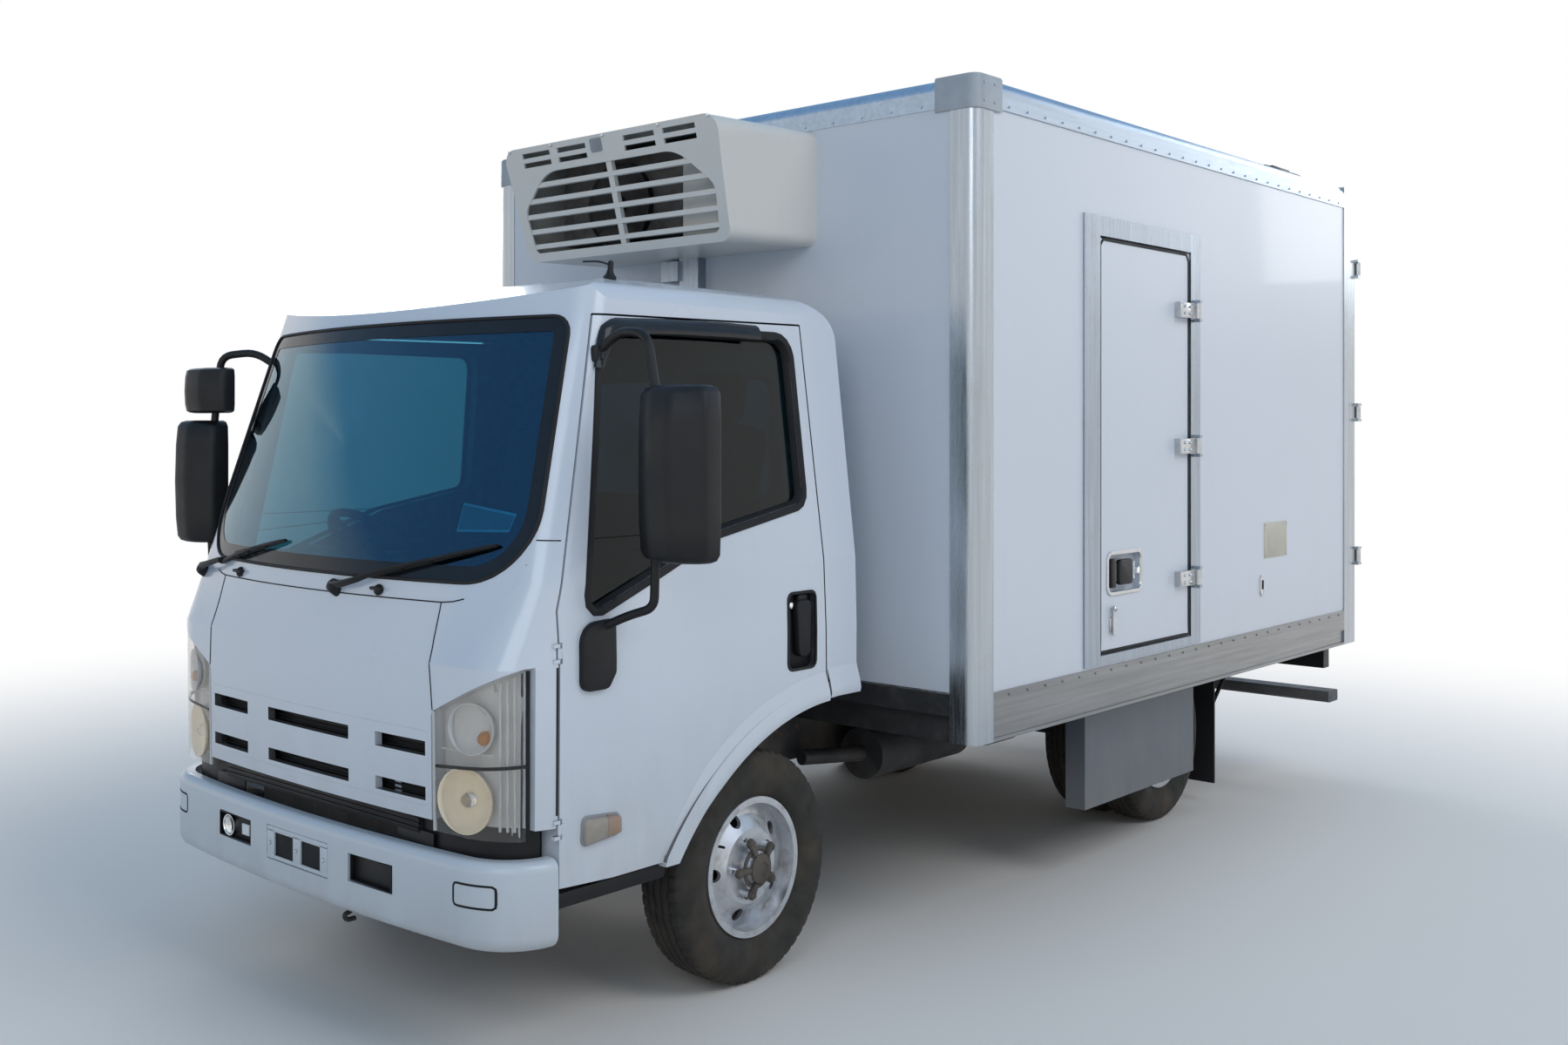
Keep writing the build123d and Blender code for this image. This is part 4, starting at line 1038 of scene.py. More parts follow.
# Handle's recess: left, right, low, high, corner radius; its rim as outwards and lift; lever's corners
HANDLE = (-0.240, -0.098, 0.962, 1.204, 0.022)
HANDLE_RIM = ((0.004, -0.002), (0.004, 0.002), (0.001, 0.004), (-0.005, 0.003), (-0.005, -0.002))
LEVER = ((-0.205, 1.000, 0.02), (-0.150, 1.000, 0.02), (-0.140, 1.180, 0.02), (-0.215, 1.180, 0.02))
LOCK_CAP = ((0.010, -0.008), (0.010, 0.002), (0.008, 0.0035), (0, 0.0035))
# Side repeater's corners, and where its amber part begins
REPEATER = ((0.650, 0.600, 0.012), (0.796, 0.588, 0.016), (0.792, 0.668, 0.016), (0.652, 0.656, 0.012))
REPEATER_SPLIT = 0.72


def door_gear():
    outline = panel_outline(*HANDLE, 0.012)
    handle = Model()
    handle.rim(outline, on_door, HANDLE_RIM, "black_plastic")
    handle.plate(grown(outline, -0.001), on_door, -0.0255, -0.021, "black_plastic", 0.001)
    handle.plate(resampled(rounded(LEVER), 0.01), on_door, -0.016, 0.006, "black_plastic", 0.006)
    handle.slab((-0.20, 0.862, 1.165), (-0.155, 0.880, 1.195), "black_plastic", 0.004)
    handle.lathe(LOCK_CAP, on_door(-0.120, 1.165, -0.004), (0, 1, 0), "chrome", 16)
    handle.pair("door_handle", "door", "black_plastic")
    lamp = Model()
    edge = resampled(rounded(REPEATER), 0.010)
    lamp.plate(grown(edge, 0.003), on_door, -0.002, 0.005, "grey_plastic", 0.002)
    lamp.plate(grown(edge, -0.003), on_door, 0.004, 0.020, "pale_amber_lens", 0.007)
    glow = [point for point in edge if point.x < REPEATER_SPLIT]
    lamp.plate(grown(glow, -0.008), on_door, 0.0051, 0.010, "amber_lens", 0.002)
    lamp.pair("side_repeater", "door", "lamp_clear")


# Foot plate of a mirror's arms on the door: corners as along, height and radius
MIRROR_BASE = (
    (0.705, 1.007, 0.02), (0.805, 1.007, 0.03), (0.805, 1.192, 0.06),
    (0.676, 1.198, 0.012), (0.676, 1.050, 0.02),
)
# Each row: rear and front faces, inner and outer sides, foot and top of a mirror housing
LEFT_HEADS = ((0.617, 0.746, 0.990, 1.233, 1.364, 1.836),)
RIGHT_HEADS = ((0.747, 0.876, 0.990, 1.233, 1.312, 1.750), (0.762, 0.863, 0.922, 1.183, 1.776, 1.938))
# Share of a housing's height, and how far its sides are drawn in there
HEAD_LEVELS = (
    (0, 0.034), (0.015, 0.014), (0.05, 0.003), (0.2, 0), (0.5, 0),
    (0.8, 0), (0.95, 0.003), (0.985, 0.014), (1, 0.034),
)
# How far the right mirror's arms reach forward of the left one's
RIGHT_FORWARD = 0.130


def mirror_head(made, rear, front, inner, outer, low, high):
    # Housing skinned over level rounded sections, the glass let into its flat rear face
    rows = []
    for share, drawn in HEAD_LEVELS:
        nose_x = front - 0.010 + 0.010 * math.sin(math.pi * share) - drawn
        shoulder = rear + 0.55 * (nose_x - rear)
        flat = rounded(
            (
                (rear, inner + drawn, 0.010),
                (rear, outer - drawn, 0.010),
                (shoulder, outer - drawn, 0.030),
                (nose_x, outer - 0.085, 0.060),
                (nose_x, inner + 0.085, 0.060),
                (shoulder, inner + drawn, 0.030),
            ),
            5,
        )
        rows.append([Vector((u, v, low + (high - low) * share)) for u, v in flat])
    made.skin(rows, "black_plastic")

    def on_rear(u, v, lift):
        return Vector((rear + 0.0005 - lift, u, v))

    pane = panel_outline(inner + 0.018, outer - 0.018, low + 0.030, high - 0.030, 0.02, 0.012)
    made.plate(pane, on_rear, 0.0, 0.003, "mirror_glass", 0.001)


def mirror_assembly(forward, heads):
    made = Model()
    made.plate(resampled(rounded(MIRROR_BASE), 0.01), on_door, 0.000, 0.020, "black_plastic", 0.008)
    low, high = heads[0][4], heads[0][5]
    lower = (
        (0.715, 0.893, 1.180), (0.690, 0.960, 1.212), (0.664 + forward, 1.030, 1.236),
        (0.665 + forward, 1.036, low + 0.02),
    )
    made.tube(bent(lower, 0.030), 0.0125, "black_plastic", 14)
    upper = (
        (0.655, 0.797, 1.930), (0.645 + forward / 2, 0.880, 1.992), (0.650 + forward, 0.990, 1.980),
        (0.655 + forward, 1.030, high - 0.02),
    )
    made.tube(bent(upper, 0.045), 0.0135, "black_plastic", 14)
    made.slab((0.632, 0.796, 1.905), (0.680, 0.822, 1.955), "black_plastic", 0.009, 3)
    for head in heads:
        mirror_head(made, *head)
    return made


def mirrors():
    left = mirror_assembly(0, LEFT_HEADS)
    left.piece("mirror_assembly_left", "door_left", "black_plastic", ["mirror_left"])
    right = mirror_assembly(RIGHT_FORWARD, RIGHT_HEADS).flipped()
    right.piece("mirror_assembly_right", "door_right", "black_plastic", ["mirror_right"])


door_trim()
door_gear()
mirrors()


# Bumper, front lamps and arches

# Fog lamp recesses: inner and outer sides, foot and top, back wall and mouth, wall thickness
RECESS_SIDES = (0.258, 0.447)
RECESS_LOW, RECESS_HIGH = 0.437, 0.511
RECESS_BACK, RECESS_MOUTH = 1.089, 1.106
RECESS_WALL = 0.003
FOG_PLACE = (1.092, -0.395, 0.474)
FOG_BOWL = ((0.004, 0.002), (0.024, 0.006), (0.030, 0.014), (0.033, 0.014), (0.033, 0.0), (0.004, 0.0))
FOG_GLASS = ((0.030, 0.010), (0.030, 0.012), (0.018, 0.017), (0, 0.019))
# Bars of the blank plate holder: left, right, low, high
HOLDER = (-0.158, 0.158, 0.422, 0.520)
HOLDER_BARS = (
    (-0.158, 0.158, 0.504, 0.520), (-0.158, 0.158, 0.422, 0.434), (-0.158, -0.120, 0.43, 0.51),
    (-0.020, 0.020, 0.43, 0.51), (0.120, 0.158, 0.43, 0.51),
)
HOLDER_BOLTS = (-0.139, 0.0, 0.139)
# Covers at the bumper's ends: inner, outer, low, high and corner radius; section of their groove
END_COVER = (0.690, 0.812, 0.456, 0.516, 0.010)
GROOVE = ((0.003, -0.001), (0.003, 0.0007), (-0.003, 0.0007), (-0.003, -0.001))
HOOK = (
    (1.030, 0.195, 0.345), (1.062, 0.195, 0.322), (1.085, 0.195, 0.318),
    (1.075, 0.195, 0.300), (1.045, 0.195, 0.300),
)


def bumper_gear():
    skin = on_front(surface("front_bumper"))
    made = Model()
    half = RECESS_WALL / 2
    for side in (-1, 1):
        low, high = sorted(side * y for y in RECESS_SIDES)
        back = (RECESS_BACK, low, RECESS_LOW)
        made.slab(back, (RECESS_BACK + RECESS_WALL, high, RECESS_HIGH), "black_plastic", 0.001)
        for y in (low, high):
            foot = (RECESS_BACK, y - half, RECESS_LOW)
            made.slab(foot, (RECESS_MOUTH, y + half, RECESS_HIGH), "black_plastic", 0.0006)
        for z in (RECESS_LOW + 0.0005, RECESS_HIGH - 0.0005):
            made.slab((RECESS_BACK, low, z - half), (RECESS_MOUTH, high, z + half), "black_plastic", 0.0006)
    made.lathe(FOG_BOWL, FOG_PLACE, (1, 0, 0), "chrome", 28)
    made.lathe(FOG_GLASS, FOG_PLACE, (1, 0, 0), "lamp_cover", 28)
    made.slab((1.092, -0.330, 0.455), (1.099, -0.290, 0.490), "card", 0.003)
    left, right, foot, top = HOLDER
    made.slab((1.107, left, foot), (1.110, right, top), "seam_dark", 0.001)
    for left, right, foot, top in HOLDER_BARS:
        made.slab((1.109, left, foot), (1.1165, right, top), "bumper_paint", 0.002)
    made.bolts([(1.1165, y, 0.470) for y in HOLDER_BOLTS], (1, 0, 0), 0.006, "stainless")
    cover = panel_outline(*END_COVER, 0.01)
    for side in (-1, 1):
        made.rim([Vector((u * side, v)) for u, v in cover], skin, GROOVE, "seam_dark")
    made.tube(bent(HOOK, 0.010), 0.007, "chassis_black", 10)
    made.piece("bumper_gear", "chassis", "black_plastic")


# Arch: start, middle and end of the wheel opening, x and z
ARCH = (Vector((-0.295, 0.848)), Vector((0.126, 0.726)), Vector((0.415, 0.466)))
# Liner inside it, drawn clear of the wheel at full lock
LINER = ((-0.295, 0.857), (-0.08, 0.812), (0.126, 0.748), (0.335, 0.728), (0.435, 0.600), (0.458, 0.470))
# Flare's section: outwards from the opening, and lift off the skin
FLARE = (
    (-0.0006, -0.010), (-0.0006, 0.0165), (0.012, 0.0195), (0.030, 0.0170), (0.055, 0.0105), (0.080, 0.0030),
    (0.092, 0.0004),
)
FLARE_STEPS = 36
# Behind the door the flare runs level
REAR_FLARE_X = (-0.301, -0.36, -0.42, -0.459)
REAR_FLARE_Z = 0.858
# Liner's inner and outer sides and thickness
LINER_SIDES = (0.42, 0.795)
LINER_THICK = 0.004
# Sill's section as across and height, and its places along
SILL = ((0.862, 0.470), (0.866, 0.450), (0.858, 0.428), (0.800, 0.421), (0.700, 0.430), (0.700, 0.470))
SILL_X = (0.446, 0.470, 0.850, 0.870)
# Rubber edge along the gap in front of a door, from hinge to hinge
SHUT_X = 0.8832
SHUT_LOW, SHUT_LONG, SHUT_STEPS = 0.688, 0.395, 16


def circle(a, b, c):
    # Centre and radius of the circle through three points
    d = 2 * (a.x * (b.y - c.y) + b.x * (c.y - a.y) + c.x * (a.y - b.y))
    x = (a.dot(a) * (b.y - c.y) + b.dot(b) * (c.y - a.y) + c.dot(c) * (a.y - b.y)) / d
    y = (a.dot(a) * (c.x - b.x) + b.dot(b) * (a.x - c.x) + c.dot(c) * (b.x - a.x)) / d
    centre = Vector((x, y))
    return centre, (a - centre).length


def arch_gear():
    inner, outer = LINER_SIDES
    liners = Model()
    points = bent([(x, 0, z) for x, z in LINER], 0.03)
    rows = []
    for y, lift in ((inner, 0), (outer, 0), (outer, LINER_THICK), (inner, LINER_THICK)):
        rows.append([point + Vector((0, y, lift)) for point in points])
    liners.skin(list(zip(*rows)), "chassis_black")
    liners.double()
    liners.piece("arch_liners", "cab", "black_plastic")
    centre, radius = circle(*ARCH)
    start = ARCH[0] - centre
    turn = start.angle_signed(ARCH[2] - centre)
    flare = Model()
    rows = []
    for i in range(FLARE_STEPS + 1):
        arm = Matrix.Rotation(-turn * i / FLARE_STEPS, 2) @ start.normalized()
        # The flare narrows over the last third, towards the sill
        fade = min(1, 0.35 + 0.65 * (FLARE_STEPS - i) / 12)
        row = []
        for out, lift in FLARE:
            row.append(on_door(*(centre + arm * (radius + out * (0.6 + 0.4 * fade))), lift * fade))
        rows.append(row)
    flare.skin(rows, "door_paint", False)
    flare.pair("arch_flare", "door", "cab_white")
    rear = Model()
    rows = [[on_door(x, REAR_FLARE_Z + out, lift) for out, lift in FLARE] for x in REAR_FLARE_X]
    rear.skin(rows, "cab_paint", False)
    rear.double()
    rear.piece("rear_arch_flares", "cab", "cab_white")
    sills = Model()
    sills.skin([[Vector((x, y, z)) for y, z in SILL] for x in SILL_X], "black_plastic")
    sills.double()
    sills.piece("door_sills", "cab", "black_plastic")


def shut_lines():
    skin = surface("cab_shell")
    heights = [SHUT_LOW + SHUT_LONG * i / SHUT_STEPS for i in range(SHUT_STEPS + 1)]
    edge = Model()
    path = [dropped(skin, (SHUT_X, 2.0, z), (0, -1, 0), 0.0) for z in heights]
    edge.tube(path, 0.0038, "black_rubber", 8, False, 0.3, (1, 0, 0))
    edge.double()
    edge.piece("door_shut_edges", "cab", "rubber")


AERIAL_PLACE = (0.47, 0.665, 2.4)
AERIAL_FOOT = (
    (0.020, 0), (0.020, 0.010), (0.013, 0.018), (0.009, 0.030), (0.009, 0.052), (0.005, 0.058), (0, 0.058),
)
AERIAL_ROD = ((0, 0.004, 0.045), (0.05, 0.004, 0.052), (0.11, 0.002, 0.046))


def aerial():
    made = Model()
    foot = dropped(surface("cab_shell"), AERIAL_PLACE, (0, 0, -1), -0.004)
    made.lathe(AERIAL_FOOT, foot, (0, 0.1, 1), "black_plastic", 16)
    made.tube(bent([foot + Vector(place) for place in AERIAL_ROD], 0.02), 0.003, "black_plastic", 8)
    made.piece("aerial", "cab", "black_plastic")


bumper_gear()
arch_gear()
shut_lines()
aerial()


# Tyres with their tread

TREAD_BLOCKS = 56
BLOCK_STEPS = 4
# Tyre section from bead to shoulder: radius and side
TYRE_SECTION = (
    (0.2045, -0.060), (0.206, -0.067), (0.219, -0.069), (0.232, -0.081), (0.250, -0.0895), (0.268, -0.0935),
    (0.284, -0.0945), (0.300, -0.0935), (0.316, -0.0905), (0.330, -0.0865), (0.3395, -0.0815),
    (0.347, -0.0765), (0.3530, -0.0705), (0.3560, -0.066),
)
SHOULDER_R, SHOULDER_SIDE = 0.3560, 0.066
CROWN = 0.0038
CROWN_STEPS = 40
# Grooves round the tread: their places across, half width, waviness and depth
GROOVES = (-0.040, -0.0135, 0.0135, 0.040)
GROOVE_HALF, GROOVE_WAVE, GROOVE_DEEP = 0.0034, 0.0022, 0.0075
# Notches between the shoulder blocks: where they start across, and their depths on the tread and the side
NOTCH_START, NOTCH_DEEP, NOTCH_SIDE_DEEP = 0.046, 0.006, 0.004
TREAD_FROM, NOTCH_FROM = 0.3525, 0.338
FRONT_TRACK = 0.753
REAR_TRACKS = (0.773, 0.555)


def tread_drop(radius, across, angle, notch):
    # How deep a point of the section lies at a turn of the wheel
    if radius > TREAD_FROM:
        wave = GROOVE_WAVE * math.sin(angle * TREAD_BLOCKS / 2)
        if min(abs(across - groove - wave) for groove in GROOVES) < GROOVE_HALF:
            return GROOVE_DEEP
        return NOTCH_DEEP if notch and abs(across) > NOTCH_START else 0
    return NOTCH_SIDE_DEEP if notch and radius > NOTCH_FROM else 0


def tyre(made, place, side):
    section = list(TYRE_SECTION)
    for i in range(1, CROWN_STEPS):
        across = -SHOULDER_SIDE + 2 * SHOULDER_SIDE * i / CROWN_STEPS
        section.append((SHOULDER_R + CROWN * (1 - (across / SHOULDER_SIDE) ** 2), across))
    section += [(r, -y) for r, y in TYRE_SECTION[::-1]]
    turns = TREAD_BLOCKS * BLOCK_STEPS
    rows = []
    for t in range(turns):
        angle = 2 * math.pi * t / turns
        row = []
        for radius, across in section:
            size = radius - tread_drop(radius, across, angle, t % BLOCK_STEPS == 0)
            out = Vector((math.cos(angle) * size, across * side, math.sin(angle) * size))
            row.append(Vector(place) + out)
        rows.append(row)
    made.skin(rows, "tyre_rubber", True, True)


def tyres():
    for side, word in ((1, "left"), (-1, "right")):
        front = Model()
        tyre(front, (0, side * FRONT_TRACK, AXLE_Z), side)
        front.piece("tread_front_" + word, "wheel_front_" + word, "tyre", ["tyre_front_" + word], 30)
        rear = Model()
        for y in REAR_TRACKS:
            tyre(rear, (-WHEELBASE, side * y, AXLE_Z), side)
        rear.piece("treads_rear_" + word, "wheels_rear_" + word, "tyre", ["tyres_rear_" + word], 30)


# Hub sections: radius, and distance outwards from the middle of the wheel
HUB_CAP = ((0.046, 0.100), (0.046, 0.106), (0.040, 0.110), (0.022, 0.112), (0.020, 0.109), (0, 0.109))
HUB_RING = ((0.064, 0.084), (0.064, 0.090), (0.058, 0.093), (0.052, 0.090), (0.052, 0.084))
HUB_NUT = ((0.0155, 0), (0.0155, 0.012), (0.012, 0.016), (0.006, 0.018), (0, 0.018))
HUB_LOBE = ((0.046, 0.094), (0.068, 0.090), (0.094, 0.0645))
NUT_CIRCLE, NUT_SEAT = 0.084, 0.0795
VALVE = ((0.142, 0.040, 0.085), (0.150, 0.068, 0.090), (0.152, 0.084, 0.091))


def hub_gear():
    made = Model()
    place = Vector((0, FRONT_TRACK, AXLE_Z))
    made.lathe(HUB_CAP, place, (0, 1, 0), "hub_grime", 30)
    made.lathe(HUB_RING, place, (0, 1, 0), "hub_grime", 40)
    for i in range(5):
        turn = math.radians(20 + 72 * i)
        out = Vector((math.sin(turn), 0, math.cos(turn)))
        nut = place + out * NUT_CIRCLE + Vector((0, NUT_SEAT, 0))
        made.lathe(HUB_NUT, nut, (0, 1, 0), "hub_grime", 6)
        lobe = [place + out * r + Vector((0, h, 0)) for r, h in HUB_LOBE]
        made.tube(lobe, [0.016, 0.018, 0.014], "hub_grime", 10, False, 0.6)
    made.tube([place + Vector(spot) for spot in VALVE], 0.0042, "black_rubber", 8)
    made.pair("hub_front", "wheel_front", "wheel_silver")


tyres()
hub_gear()


# Load box

# Corner cap round the top of a front post: its plan, and its section as height and outwards
CAP_PLAN = ((-0.6935, 1.035, 0), (-0.6935, 1.1925, 0), (-0.848, 1.1925, 0))
CAP_SECTION = ((2.774, 0.0), (2.774, 0.004), (2.880, 0.004), (2.8885, -0.001), (2.8885, -0.060))
CAP_BOLTS = ((-0.735, 1.1965, 2.80), (-0.735, 1.1965, 2.86), (-0.80, 1.1965, 2.80), (-0.80, 1.1965, 2.86))
# Rivets: along the side rails and along the front rail
RAIL_FACE, RAIL_RIVETS, RAIL_START, RAIL_STEP = 1.1915, 26, -0.90, 0.121
RAIL_LEVELS = (2.800, 0.828)
FRONT_RIVETS, FRONT_START, FRONT_STEP = 17, -0.98, 0.1225
RIVET_R = 0.0042
# Low beacon base on the roof: low and high corners, edge
BEACON = (
    ((-3.72, 0.98, 2.872), (-3.30, 1.10, 2.922), 0.018),
    ((-3.62, 1.00, 2.915), (-3.42, 1.08, 2.934), 0.008),
)
BLANK_PLATE = ((-3.296, 1.152), (-3.046, 1.152), (-3.046, 1.308), (-3.296, 1.308))
KEY_SLOT = (-3.035, -3.000, 0.990, 1.082, 0.015)


def box_gear():
    made = Model()
    plan = bent(CAP_PLAN, 0.046, 8)
    last = len(plan) - 1
    rows = []
    for z, out in CAP_SECTION:
        row = []
        for i, point in enumerate(plan):
            along = (plan[min(i + 1, last)] - plan[max(i - 1, 0)]).normalized()
            row.append(Vector((point.x + along.y * out, point.y - along.x * out, z)))
        rows.append(row)
    made.skin(rows, "cap_grey", False)
    made.bolts(CAP_BOLTS, (0, 1, 0), 0.004, "rail_alloy", 10)
    spots = [(RAIL_START - i * RAIL_STEP, RAIL_FACE, z) for i in range(RAIL_RIVETS) for z in RAIL_LEVELS]
    made.bolts(spots, (0, 1, 0), RIVET_R, "rail_alloy", 8)
    made.double()
    spots = [(-0.6945, FRONT_START + i * FRONT_STEP, 2.80) for i in range(FRONT_RIVETS)]
    made.bolts(spots, (1, 0, 0), RIVET_R, "rail_alloy", 8)
    for low, high, edge in BEACON:
        made.slab(low, high, "black_plastic", edge, 3)
    made.plate([Vector(p) for p in BLANK_PLATE], on_box, 0.0, 0.0025, "blank_plate", 0.001)
    spots = [on_box(x, z, 0.002) for x in (-3.286, -3.056) for z in (1.162, 1.298)]
    made.bolts(spots, (0, 1, 0), 0.0035, "stainless", 8)
    made.plate(panel_outline(*KEY_SLOT, 0.008), on_box, 0.0, 0.006, "stainless", 0.002)
    made.slab((-3.024, 1.190, 1.020), (-3.011, 1.196, 1.060), "seam_dark", 0.002)
    made.piece("box_fittings", "chassis", "aluminium")


# Side door: its leaf, latch bowl and paddle as left, right, low, high and corner radius
SIDE_LEAF = (-2.290, -1.545, 0.895, 2.420, 0)
SIDE_SEAL = ((0.0005, -0.010), (0.004, -0.006), (0.004, 0.001), (0.0, 0.003), (-0.008, 0.002), (-0.008, 0))
LATCH_BOWL = (-1.875, -1.600, 1.105, 1.259, 0.03)
BOWL_RIM = ((0.006, 0.0), (0.006, 0.004), (0.0, 0.006), (-0.008, 0.004), (-0.010, -0.002))
PADDLE = (-1.800, -1.690, 1.135, 1.230, 0.015)
LATCH_LOCK = ((0.014, -0.008), (0.014, 0.004), (0.010, 0.006), (0, 0.006))
# Drop bolt below the latch: place along, heights and knob
DROP_BOLT_X = -1.631
DROP_BOLT_Z = (0.955, 1.0, 1.046)
BOLT_KNOB = ((0.011, 0), (0.011, 0.012), (0.006, 0.018), (0, 0.018))
SIDE_HINGES = (1.125, 1.651, 2.192)


def side_door_gear():
    made = Model()
    made.rim(panel_outline(*SIDE_LEAF, 0.05), on_box, SIDE_SEAL, "black_rubber")
    made.rim(panel_outline(*LATCH_BOWL, 0.012), on_box, BOWL_RIM, "stainless")
    made.plate(panel_outline(*PADDLE, 0.01), on_box, -0.010, 0.006, "black_plastic", 0.005)
    made.lathe(LATCH_LOCK, on_box(-1.845, 1.182, 0), (0, 1, 0), "chrome", 18)
    made.slab((-1.668, 1.172, 1.128), (-1.628, 1.192, 1.236), "black_plastic", 0.006)
    made.tube([on_box(DROP_BOLT_X, z, 0.012) for z in DROP_BOLT_Z], 0.008, "stainless", 12)
    made.slab((-1.648, 1.186, 0.968), (-1.614, 1.194, 1.020), "stainless", 0.003)
    made.lathe(BOLT_KNOB, on_box(DROP_BOLT_X, DROP_BOLT_Z[-1], 0.012), (0, 0.3, 1), "stainless", 12)
    for z in SIDE_HINGES:
        made.slab((-2.272, 1.205, z - 0.027), (-2.165, 1.2155, z + 0.027), "stainless", 0.003)
        spots = [(x, 1.215, z + dz) for x in (-2.245, -2.195) for dz in (-0.014, 0.014)]
        made.bolts(spots, (0, 1, 0), 0.006, "stainless")
    made.piece("side_door_gear", "side_door", "stainless")


# Rear door: its leaf as left, right, low, high and corner radius; seal's section; guides' and hinges' heights
REAR_LEAF = (0.006, 1.080, 0.854, 2.741, 0)
REAR_SEAL = ((0.0, -0.003), (0.0, 0.004), (-0.006, 0.007), (-0.022, 0.004), (-0.022, -0.003))
BAR_GUIDES = (1.300, 2.000)
REAR_HINGES = (1.100, 1.800, 2.500)
# Grip of the lock bar: across and outwards, and radii
GRIP = ((0.150, 0), (0.22, 0.006), (0.33, 0.010), (0.408, 0.004))
GRIP_RADII = [0.012, 0.013, 0.014, 0.011]
# Rear lamp lenses: inner and outer sides, material
REAR_LENSES = ((0.850, 0.925, "white_lens"), (0.930, 1.020, "amber_lens"), (1.025, 1.112, "red_lens"))


def rear_gear():
    made = Model()
    made.rim(panel_outline(*REAR_LEAF, 0.05), on_back, REAR_SEAL, "black_rubber")
    # Bolts: heights, places across, half their spacing upright, and how far they stand out
    for levels, columns, half, out in (
        (BAR_GUIDES, (0.122, 0.178), 0.012, 0.040),
        (REAR_HINGES, (0.955, 1.035), 0.014, 0.0255),
    ):
        spots = [on_back(y, z + dz, out) for z in levels for y in columns for dz in (-half, half)]
        made.bolts(spots, (-1, 0, 0), 0.006, "stainless")
    made.tube([on_back(y, 1.2325, 0.043 + out) for y, out in GRIP], GRIP_RADII, "black_rubber", 12)
    made.pair("rear_door_gear", "rear_door", "stainless")
    lamps = Model()
    for inner, outer, lens_name in REAR_LENSES:
        for side in (-1, 1):
            low, high = sorted((side * inner, side * outer))
            lamps.slab((-4.012, low, 0.574), (-3.996, high, 0.662), lens_name, 0.006, 3)
    lamps.slab((-4.204, -0.26, 0.396), (-4.199, 0.26, 0.428), "blank_plate", 0.002)
    lamps.piece("rear_lamp_lenses", "chassis", "lamp_red")


# Cooling unit: blank patch, cover bolts, cream baffle behind the near end of the bars, and fan
UNIT_PATCH = (-0.069, -0.012, 2.712, 2.760, 0.006)
UNIT_BOLTS = (-0.50, -0.27, 0.0, 0.27, 0.50)
BAFFLES = (
    ((-0.302, 0.262, 2.380), (-0.297, 0.486, 2.680)),
    ((-0.318, 0.258, 2.380), (-0.297, 0.264, 2.680)),
)
FAN_PLACE = Vector((-0.301, -0.060, 2.535))
FAN_RING = ((0.145, 0), (0.150, 0.006), (0.156, 0.006), (0.156, -0.03), (0.150, -0.03))
FAN_HUB = ((0.036, -0.02), (0.036, 0.004), (0.028, 0.010), (0, 0.012))
FAN_BLADES = 7
# Blade's sections near the hub and near the ring: radius, then across and forward of each corner
BLADE = (
    (0.034, ((-0.02, -0.012), (0.02, 0.0), (0.02, -0.003), (-0.02, -0.015))),
    (0.142, ((-0.05, -0.022), (0.04, 0.002), (0.04, -0.001), (-0.05, -0.025))),
)


def unit_gear():
    skin = on_front(surface("condenser_cover"))
    made = Model()
    made.plate(panel_outline(*UNIT_PATCH, 0.008), skin, 0.0, 0.003, "grey_plastic", 0.001)
    made.bolts([skin(y, 2.764, 0) for y in UNIT_BOLTS], (1, 0, 0), 0.006, "stainless", 8)
    for low, high in BAFFLES:
        made.slab(low, high, "unit_cream", 0.002)
    made.lathe(FAN_RING, FAN_PLACE, (1, 0, 0), "black_plastic", 40)
    made.lathe(FAN_HUB, FAN_PLACE, (1, 0, 0), "black_plastic", 24)
    for i in range(FAN_BLADES):
        turn = 2 * math.pi * i / FAN_BLADES
        out = Vector((0, math.cos(turn), math.sin(turn)))
        along = Vector((1, 0, 0)).cross(out)
        rows = []
        for radius, corners in BLADE:
            rows.append([FAN_PLACE + out * radius + along * w + Vector((h, 0, 0)) for w, h in corners])
        made.skin(rows, "black_plastic")
    made.piece("unit_fittings", "chassis", "unit_cream")


box_gear()
side_door_gear()
rear_gear()
unit_gear()


# Cab inside

# Each row: low corner, high corner, edge radius, turn in degrees about the pivot's Y axis, pivot
SEAT_FORMS = (
    ((-0.195, 0.166, 1.016), (0.294, 0.634, 1.150), 0.050, 0, (0, 0, 0)),
    ((-0.068, 0.176, 0.006), (0.068, 0.624, 0.630), 0.050, -12, (-0.165, 0, 1.120)),
    ((-0.040, 0.286, 0.006), (0.040, 0.514, 0.182), 0.034, -12, (-0.300, 0, 1.745)),
)
SEAT_VOXEL = 0.014
SEAT_PRESSURE = 4
SEAT_FRAMES = 20
SEAT_SWELL = 0.012
# Sewn channels: their places across, half width, depth, and the height where they end
SEAT_CHANNELS = (0.29, 0.40, 0.51)
CHANNEL_HALF, CHANNEL_DEEP, CHANNEL_TOP = 0.012, 0.007, 1.73


def applied(source):
    shot = source.evaluated_get(bpy.context.evaluated_depsgraph_get())
    return bpy.data.meshes.new_from_object(shot)


